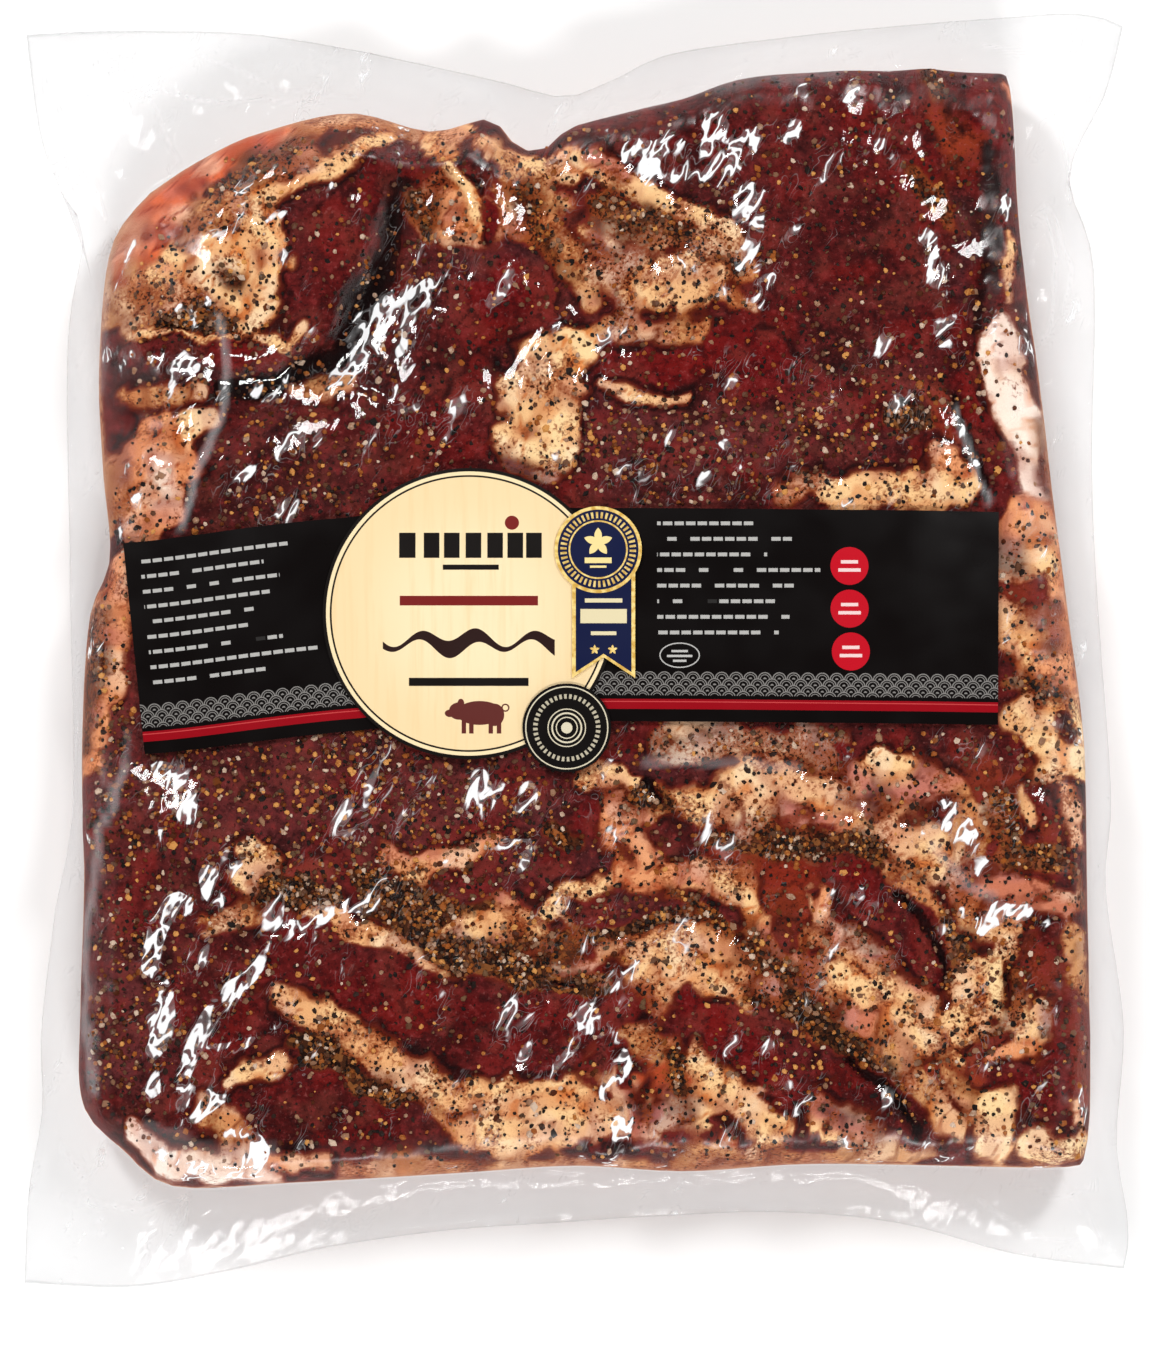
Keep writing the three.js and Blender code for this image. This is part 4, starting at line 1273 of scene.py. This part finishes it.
film_spots, film_share = film_points()
film_mesh = sheet_mesh("clear_film", film_form, film_spots)
set_attribute(film_mesh, "pucker", np.where(film_ring == 0, film_pucker[film_column, film_row], 0))
veil_clear = smooth(0, 4, outside_labels(*film_spots[:, :2].T)) * (film_ring <= MARGIN_RINGS)
set_attribute(film_mesh, "veil", film_marks(VEILS, *film_spots[:, :2].T, 0.8) * veil_clear)
set_attribute(film_mesh, "shoulder", film_shoulder[film_column, film_row] * (film_ring == 0))
set_attribute(film_mesh, "margin", np.where(film_ring > 0, film_share, 0))

STRETCH = (2.3, 1, 1)  # the film's creases are this much longer than wide
STRETCH_TURN = math.radians(62)  # and run up to the right


def clear_film():
    """Clear film: most light goes through, its folds carry painted white highlights, and its margin is
    milky.
    """
    look = Finish(bpy.data.materials.new("clear_film"))
    at = look.place()
    pucker = look.attribute("pucker")
    margin = look.attribute("margin")
    turned_at = {"Vector": at, "Rotation": (0, 0, STRETCH_TURN), "Scale": STRETCH}
    along = look.node("Mapping", {"vector_type": "TEXTURE"}, turned_at)
    drape = look.noise(along, 3.4, detail=1, roughness=0.4, distortion=0.6)
    contour = abs(drape - 0.5) * 2
    nested = abs((drape * 8).math("FRACT") - 0.5) * 2
    broken = look.noise(along, 6.5, detail=1)
    # Painted highlights: thin white lines on the creases' contours with a faint halo, thickest where the
    # film is puckered; they stand for glints of the lamps and the whitening of creased film.
    glint_gate = (pucker * 0.32 + broken).rise(0.71, 0.76)
    line = glint_gate * ((contour - pucker * 0.07).rise(0.08, 0.02) * 0.8 + contour.rise(0.32, 0.06) * 0.14)
    # Faint painted highlights in nested loops round the puckers.
    swirl = nested.rise(0.8, 1.0) * (pucker * 0.3 + broken).rise(0.56, 0.7)
    creased = look.bump(drape, 0.3)
    crinkled = look.attribute("shoulder") * (1 - pucker) * 0.34 + 0.06
    reflect = look.node("BsdfGlossy", {}, {"Color": (1, 1, 1, 1), "Roughness": crinkled, "Normal": creased})
    # The white that the painted highlights and the haze are mixed with.
    milky = look.node("BsdfDiffuse", {}, {"Color": (0.95, 0.95, 0.96, 1)})
    through = look.node("BsdfTransparent", {}, {"Color": (1, 1, 1, 1)})
    # How much painted white lies over the film: the veils, the highlight lines and the loops.
    haze_and_glints = look.attribute("veil") * margin.rise(0.0, 0.02, 0.2, 0.3) + line + swirl * 0.14
    hazy_and_glinting = look.node("MixShader", {}, {0: haze_and_glints.least(0.95), 1: through, 2: milky})
    frosted = look.node("BsdfDiffuse", {}, {"Color": (0.57, 0.58, 0.6, 1)})
    frost = margin.rise(0.0, 0.03) * 0.06 + margin * 0.08 + margin.rise(0.97, 1.0) * 0.1
    layered = look.node("MixShader", {}, {0: frost, 1: hazy_and_glinting, 2: frosted})
    gloss = margin.rise(0.0, 0.02, 0.028, 0.006)
    return look.finish(look.node("MixShader", {}, {0: gloss, 1: layered, 2: reflect}))


film_piece = add_piece("clear_film", film_mesh, clear_film(), ["pouch"])
film_piece.visible_shadow = False  # so thin and clear that it throws none
film_piece.visible_diffuse = False
film_piece.visible_glossy = False

# ----------------------------------------------------------------------------------------------
# The band: satin black label paper across the pack, stuck to the film, with a red stripe, a strip
# of grey lace and blocks of small grey lines that stand for print.

PAPER = 0.3  # thickness of a label and of the gap under it, in millimetres
BAND_CELLS = (150, 36)
BAND_MIDDLE = 116  # half its length
PAST_ENDS = 130  # half the length of a stripe that runs off both ends
WORD_LENGTH = 3.1


def label_lift(level):
    """How high over the bed the label on that level lies."""
    return PAPER + 2 * PAPER * level


def spline(x, knots, value):
    """A smooth curve through the knots' values, as the part's own band has."""
    at = np.array([k[0] for k in knots], float)
    held = np.array([k[value] for k in knots], float)
    span = np.clip(np.searchsorted(at, x, side="right") - 1, 0, len(at) - 2)
    t = (x - at[span]) / (at[span + 1] - at[span])
    before = held[np.maximum(span - 1, 0)]
    after = held[np.minimum(span + 2, len(held) - 1)]
    start, end = held[span], held[span + 1]
    lead, follow = (end - before) / 2, (after - start) / 2
    third = 2 * start - 2 * end + lead + follow
    second = 3 * end - 3 * start - 2 * lead - follow
    return third * t ** 3 + second * t ** 2 + lead * t + start


def label_mesh(name, form, flat, level):
    """A flat form laid on the bed in the labels' stack; flat is its vertices' places in millimetres."""
    mesh = bpy.data.meshes.new(name)
    form.to_mesh(mesh)
    form.free()
    height = bed_height(flat[:, 0], flat[:, 1]) + label_lift(level)
    points = np.column_stack([flat, height]) * MM
    mesh.vertices.foreach_set("co", points.astype(np.float32).ravel())
    mesh.update()
    return mesh


def thicken(piece):
    """Gives a label the thickness of its paper, upwards."""
    made = piece.modifiers.new("paper", "SOLIDIFY")
    made.thickness = PAPER * MM
    made.offset = 1


def drawn(distance, half=0.0, edge=0.12):
    """1 where the distance is under the half-width of a printed shape, with an edge of ink."""
    return distance.rise(half + edge / 2, half - edge / 2)


class Print:
    """Shapes printed on a label, placed in millimetres; each is 1 inside and 0 outside."""

    def __init__(self, look, x=None, y=None):
        self.look = look
        at = look.place()
        self.x = x or look.node("SeparateXYZ", {}, {"Vector": at}, out="X")
        self.y = y or look.node("SeparateXYZ", {}, {"Vector": at}, out="Y")

    def away(self, cx, cy, wide=1.0, high=1.0):
        """How far from a centre, in parts of an oval's half-sizes."""
        across = (self.x - cx) / wide
        up = (self.y - cy) / high
        return (across * across + up * up).power(0.5)

    def dot(self, cx, cy, radius):
        return drawn(self.away(cx, cy), radius)

    def ring(self, cx, cy, radius, half):
        return drawn(abs(self.away(cx, cy) - radius), half)

    def oval(self, cx, cy, wide, high):
        return drawn(self.away(cx, cy, wide, high), 1.0, 0.12 / min(wide, high))

    def bar(self, cx, cy, half_x, half_y):
        beyond = (abs(self.x - cx) - half_x).most(abs(self.y - cy) - half_y)
        return drawn(beyond)

    def star(self, cx, cy, radius, tips=5):
        angle = self.look.node("Math", {"operation": "ARCTAN2"}, {0: self.x - cx, 1: self.y - cy})
        fold = (angle * (tips / (2 * math.pi)) + 10).math("PINGPONG", 0.5) * 2
        return drawn(self.away(cx, cy) - (1 - fold * 0.58) * radius)

    def lines(self, left, right, low, high, pitch, half, seed):
        """Rows of thin bars broken into words, as small print looks from a step away."""
        row = ((self.y - low) / pitch).math("FLOOR")
        within = abs(((self.y - low) / pitch).math("FRACT") - 0.5) * pitch
        word = ((self.x - left) / WORD_LENGTH + row * 0.37).math("FLOOR")
        key = self.look.node("CombineXYZ", {}, {"X": word + seed, "Y": row})
        chance = self.look.node("TexWhiteNoise", {"noise_dimensions": "2D"}, {"Vector": key}, out="Value")
        part = ((self.x - left) / WORD_LENGTH + row * 0.37).math("FRACT")
        words = drawn(abs(part - 0.5) * WORD_LENGTH, 1.25) * chance.rise(0.12, 0.13)
        length = self.look.node("TexWhiteNoise", {"noise_dimensions": "1D"}, {"W": row + seed}, out="Value")
        end = right - length * (right - left) * 0.45
        inside = drawn(abs(self.y - (low + high) / 2), (high - low) / 2)
        inside = inside * drawn(left - self.x) * drawn(self.x - end)
        return drawn(within, half) * words * inside


PAPER_TOOTH = 0.03  # how much of the paper's relief is fine tooth, and the rest soft waves


def paper_shader(look, colour, roughness):
    """Printed paper with a faint tooth and a satin coat."""
    tooth = look.noise(look.place(), 0.6, detail=2)
    waves = look.noise(look.place(), 14, detail=1)
    return look.finish(look.node("BsdfPrincipled", {}, {
        "Base Color": colour,
        "Roughness": waves.rise(0.3, 0.7, roughness - 0.05, roughness + 0.05),
        "Specular IOR Level": 0.12,
        "Normal": look.bump(tooth * PAPER_TOOTH + waves, 0.25),
    }))


def band_paper():
    look = Finish(bpy.data.materials.new("black_label"))
    strip = Print(look, look.attribute("along"), look.attribute("across"))
    flat = Print(look)
    ink = srgb(11, 7, 7)
    colour = look.blend(look.noise(look.place(), 40, detail=2) * 0.35, ink, srgb(19, 15, 14))
    lace = strip.bar(BAND_MIDDLE, 10.2, PAST_ENDS, 3.2)
    scale = 3.85  # millimetres from one loop of the lace to the next
    lines = None
    for row in range(4):
        shifted = ((strip.x / scale + (row % 2) * 0.5).math("FRACT") - 0.5) * scale
        up = strip.y - (6.4 + row * 1.7)
        reach = (shifted * shifted + up * up).power(0.5)
        above = up.rise(-0.05, 0.05)
        loops = (drawn(abs(reach - 1.75), 0.14) + drawn(abs(reach - 1.2), 0.1) + drawn(reach, 0.45)) * above
        lines = loops if lines is None else lines.most(loops)
    colour = look.blend(lines.least(1) * lace * 0.75, colour, srgb(150, 146, 142))
    colour = look.blend(strip.bar(BAND_MIDDLE, 4.65, PAST_ENDS, 1.35), colour, srgb(146, 12, 24))
    colour = look.blend(strip.bar(BAND_MIDDLE, 5.3, PAST_ENDS, 0.12), colour, srgb(196, 70, 70))
    small = strip.lines(4, 52, 17, 54, 4.1, 0.5, 3) + flat.lines(22, 68, -1, 33, 4.2, 0.5, 8)
    colour = look.blend(small.least(1) * 0.8, colour, srgb(196, 194, 190))
    for cx, cy in ((73.5, 19.0), (73.5, 7.5), (73.8, -4.0)):
        colour = look.blend(flat.dot(cx, cy, 5.1), colour, srgb(190, 20, 36))
        words = flat.bar(cx, cy + 1.1, 2.3, 0.45).most(flat.bar(cx, cy - 1.1, 3.0, 0.45))
        colour = look.blend(words * 0.9, colour, srgb(240, 216, 214))
    mark = flat.oval(28, -5, 5.4, 3.4) - flat.oval(28, -5, 5.1, 3.1)
    mark = mark + flat.bar(28, -3.9, 2.2, 0.3) + flat.bar(28, -5.2, 3.4, 0.3) + flat.bar(28, -6.5, 1.8, 0.3)
    colour = look.blend(mark * 0.75, colour, srgb(214, 212, 208))
    return paper_shader(look, colour, 0.32)


band_form = bmesh.new()
bmesh.ops.create_grid(band_form, x_segments=BAND_CELLS[0], y_segments=BAND_CELLS[1], size=0.5)
band_shares = np.array([(v.co.x + 0.5, v.co.y + 0.5) for v in band_form.verts])
band_x = BAND["left"] + band_shares[:, 0] * (BAND["right"] - BAND["left"])
band_lean = np.radians(spline(band_x, BAND_LINE, 2))
band_across = (band_shares[:, 1] - 0.5) * BAND["height"]
band_flat = np.column_stack([
    band_x - band_across * np.sin(band_lean),
    spline(band_x, BAND_LINE, 1) + band_across * np.cos(band_lean),
])
band_mesh = label_mesh("band_label", band_form, band_flat, 0)
set_attribute(band_mesh, "along", band_x - BAND["left"])
set_attribute(band_mesh, "across", band_across + BAND["height"] / 2)
thicken(add_piece("band_label", band_mesh, band_paper(), ["band_label"]))

# ----------------------------------------------------------------------------------------------
# The round label: cream paper printed with wood grain, in a black and cream border, with plain
# ornaments and a small pig.


def round_form(radius, rings, steps):
    """A flat disc spun from its radius."""
    form = bmesh.new()
    spokes = [form.verts.new((radius * n / rings, 0, 0)) for n in range(rings + 1)]
    edges = [form.edges.new(pair) for pair in zip(spokes, spokes[1:])]
    bmesh.ops.spin(form, geom=spokes + edges, cent=(0, 0, 0), axis=(0, 0, 1), angle=2 * math.pi,
                   steps=steps, use_merge=True)
    bmesh.ops.remove_doubles(form, verts=form.verts, dist=1e-5)
    bmesh.ops.recalc_face_normals(form, faces=form.faces)
    if form.faces[0].normal.z < 0:
        bmesh.ops.reverse_faces(form, faces=form.faces)
    return form


def round_label(name, centre, level, rings, steps):
    """A round label's mesh, laid in the stack."""
    form = round_form(centre[2], rings, steps)
    flat = np.array([(v.co.x + centre[0], v.co.y + centre[1]) for v in form.verts])
    return label_mesh(name, form, flat, level)


PIG = (-25.5, -20.5)  # the middle of its body
PIG_PARTS = (  # head, snout, ham and ear: place from that middle, half-width and half-height
    (-5.6, 0.5, 2.6, 2.3),
    (-7.9, -0.1, 1.4, 1.0),
    (4.0, -0.5, 2.6, 3.0),
    (-5.0, 2.6, 0.9, 1.2),
)


def disc_paper():
    look = Finish(bpy.data.materials.new("cream_label"))
    shape = Print(look)
    cx, cy, radius = DISC
    black, cream, red = srgb(22, 18, 16), srgb(244, 222, 178), srgb(120, 34, 32)
    stretched = look.node("Mapping", {}, {"Vector": look.place(), "Scale": (1, 0.06, 1)})
    wood = look.noise(stretched, 2.4, detail=3, roughness=0.6, distortion=0.4)
    shade = shape.away(cx, cy).rise(10, 36)
    colour = look.blend(wood.rise(0.45, 0.75) * 0.5, srgb(248, 226, 184), srgb(238, 206, 154))
    colour = look.blend(shade * 0.5, colour, srgb(234, 202, 148))

    title = shape.bar(cx - 16.5, 24.5, 2.2, 3.4)
    for step in (-10, -4.6, 1.2, 7.0, 12.4, 17.4):
        title = title + shape.bar(cx + step, 24.5, 2.1, 3.4)
    colour = look.blend(title.least(1), colour, black)
    colour = look.blend(shape.dot(cx + 11.5, 30.6, 1.9), colour, red)
    small = shape.bar(cx + 0.5, 18.6, 7.5, 0.7) + shape.bar(cx, -12.2, 16, 1.1)
    colour = look.blend(small.least(1), colour, black)
    colour = look.blend(shape.bar(cx, 9.6, 18.5, 1.3), colour, red)
    swing = abs(shape.y + 1.6 - (shape.x * 0.42).math("SINE") * 1.9)
    wave = drawn(swing - (shape.x * 0.21 + 0.4).math("COSINE") * 0.9, 1.5) * shape.bar(cx, -1.6, 23, 6)
    colour = look.blend(wave, colour, srgb(44, 26, 24))

    px, py = PIG
    pig = shape.oval(px, py, 6.2, 3.2)
    for across, up, wide, high in PIG_PARTS:
        pig = pig + shape.oval(px + across, py + up, wide, high)
    for leg in (-4.2, -2.2, 3.0, 5.2):
        pig = pig + shape.bar(px + leg, py - 3.8, 0.6, 1.7)
    pig = pig + shape.ring(px + 6.9, py + 1.4, 0.9, 0.2)
    colour = look.blend(pig.least(1), colour, srgb(96, 44, 40))

    away = shape.away(cx, cy)
    for inset, ink in ((2.4, black), (1.9, cream), (0.9, black)):
        colour = look.blend(drawn(radius - inset - away), colour, ink)
    return paper_shader(look, colour, 0.4)


disc_mesh = round_label("disc_label", DISC, 1, 10, 128)
thicken(add_piece("disc_label", disc_mesh, disc_paper(), ["disc_label"]))

# ----------------------------------------------------------------------------------------------
# The award sticker: a gold-rimmed navy medal with a swallow-tailed ribbon, cut in one piece.

RIBBON = {"left": -0.8, "right": 16.1, "tips": -11.2, "notch": -5.6}
RIBBON_CELLS = (12, 30)
RIBBON_MIDDLE = (RIBBON["left"] + RIBBON["right"]) / 2
RIBBON_HALF = (RIBBON["right"] - RIBBON["left"]) / 2


def award_paper():
    look = Finish(bpy.data.materials.new("navy_sticker"))
    shape = Print(look)
    cx, cy, radius = MEDAL
    middle, half = RIBBON_MIDDLE, RIBBON_HALF
    navy = srgb(22, 28, 62)
    brushed = look.noise(look.place(), 1.6, detail=2)
    gold = look.blend(brushed.rise(0.3, 0.7), srgb(206, 162, 74), srgb(246, 218, 140))
    rising = abs(shape.x - middle) * -0.66
    tail = shape.y - (RIBBON["notch"] + 0.9) - rising
    field = drawn(abs(shape.x - middle), half - 1.0) * drawn(tail * -1)
    colour = look.blend(field, gold, navy)
    for step in (-2.4, 2.4):
        colour = look.blend(shape.star(middle + step, -3.6, 1.3), colour, gold)
    words = shape.bar(middle, 9.6, 5, 0.55)
    words = words + shape.bar(middle, 5.4, 6.2, 1.9) + shape.bar(middle, 0.8, 3.4, 0.5)
    colour = look.blend(words.least(1) * 0.9, colour, srgb(236, 222, 180))

    away = shape.away(cx, cy)
    on_medal = drawn(away, radius)
    angle = look.node("Math", {"operation": "ARCTAN2"}, {0: shape.x - cx, 1: shape.y - cy})
    ticks = (angle * (46 / (2 * math.pi)) + 60).math("FRACT").rise(0.45, 0.6)
    medal = look.blend(drawn(away, radius - 0.9), gold, navy)
    medal = look.blend(drawn(abs(away - 9.3), 0.85) * ticks * 0.9, medal, gold)
    medal = look.blend(drawn(abs(away - 7.7), 0.22), medal, gold)
    emblem = shape.star(cx, cy + 2.0, 3.9)
    emblem = emblem + shape.bar(cx, cy - 2.9, 3.6, 0.75) + shape.bar(cx, cy - 4.6, 2.2, 0.3)
    medal = look.blend(emblem.least(1), medal, srgb(240, 218, 150))
    return paper_shader(look, look.blend(on_medal, colour, medal), 0.36)


def ribbon_sheet():
    """The ribbon: its top follows the medal's rim, and its foot is notched."""
    cx, cy, radius = MEDAL
    form = bmesh.new()
    bmesh.ops.create_grid(form, x_segments=RIBBON_CELLS[0], y_segments=RIBBON_CELLS[1], size=0.5)
    for vertex in form.verts:
        side = vertex.co.x * 2
        x = RIBBON_MIDDLE + side * RIBBON_HALF
        bottom = RIBBON["notch"] + abs(side) * (RIBBON["tips"] - RIBBON["notch"])
        top = cy - math.sqrt(max(radius ** 2 - (x - cx) ** 2, 0.0))
        vertex.co = (x, bottom + (vertex.co.y + 0.5) * (top - bottom), 0)
    mesh = bpy.data.meshes.new("ribbon")
    form.to_mesh(mesh)
    form.free()
    return mesh


award_form = round_form(MEDAL[2], 5, 72)
bmesh.ops.translate(award_form, verts=award_form.verts, vec=(MEDAL[0], MEDAL[1], 0))
award_form.from_mesh(ribbon_sheet())
award_flat = np.array([(v.co.x, v.co.y) for v in award_form.verts])
award_mesh = label_mesh("award_sticker", award_form, award_flat, 2)
thicken(add_piece("award_sticker", award_mesh, award_paper(), ["award_sticker"]))

# ----------------------------------------------------------------------------------------------
# The seal: a small black sticker with a cream ring and concentric circles, at the disc's foot.


def seal_paper():
    look = Finish(bpy.data.materials.new("black_sticker"))
    shape = Print(look)
    cx, cy, radius = SEAL
    cream = srgb(226, 216, 188)
    away = shape.away(cx, cy)
    angle = look.node("Math", {"operation": "ARCTAN2"}, {0: shape.x - cx, 1: shape.y - cy})
    beads = (angle * (40 / (2 * math.pi)) + 60).math("FRACT").rise(0.4, 0.55)
    lines = drawn(abs(away - (radius - 0.9)), 0.16) + drawn(abs(away - 8.4), 0.6) * beads * 0.7
    for reach, half in ((5.0, 0.14), (3.9, 0.22), (2.8, 0.14), (0.0, 1.5)):
        lines = lines + drawn(abs(away - reach), half)
    colour = look.blend(lines.least(1) * 0.92, srgb(18, 15, 14), cream)
    return paper_shader(look, colour, 0.38)


seal_mesh = round_label("seal_sticker", SEAL, 2, 6, 72)
thicken(add_piece("seal_sticker", seal_mesh, seal_paper(), ["seal_sticker"]))
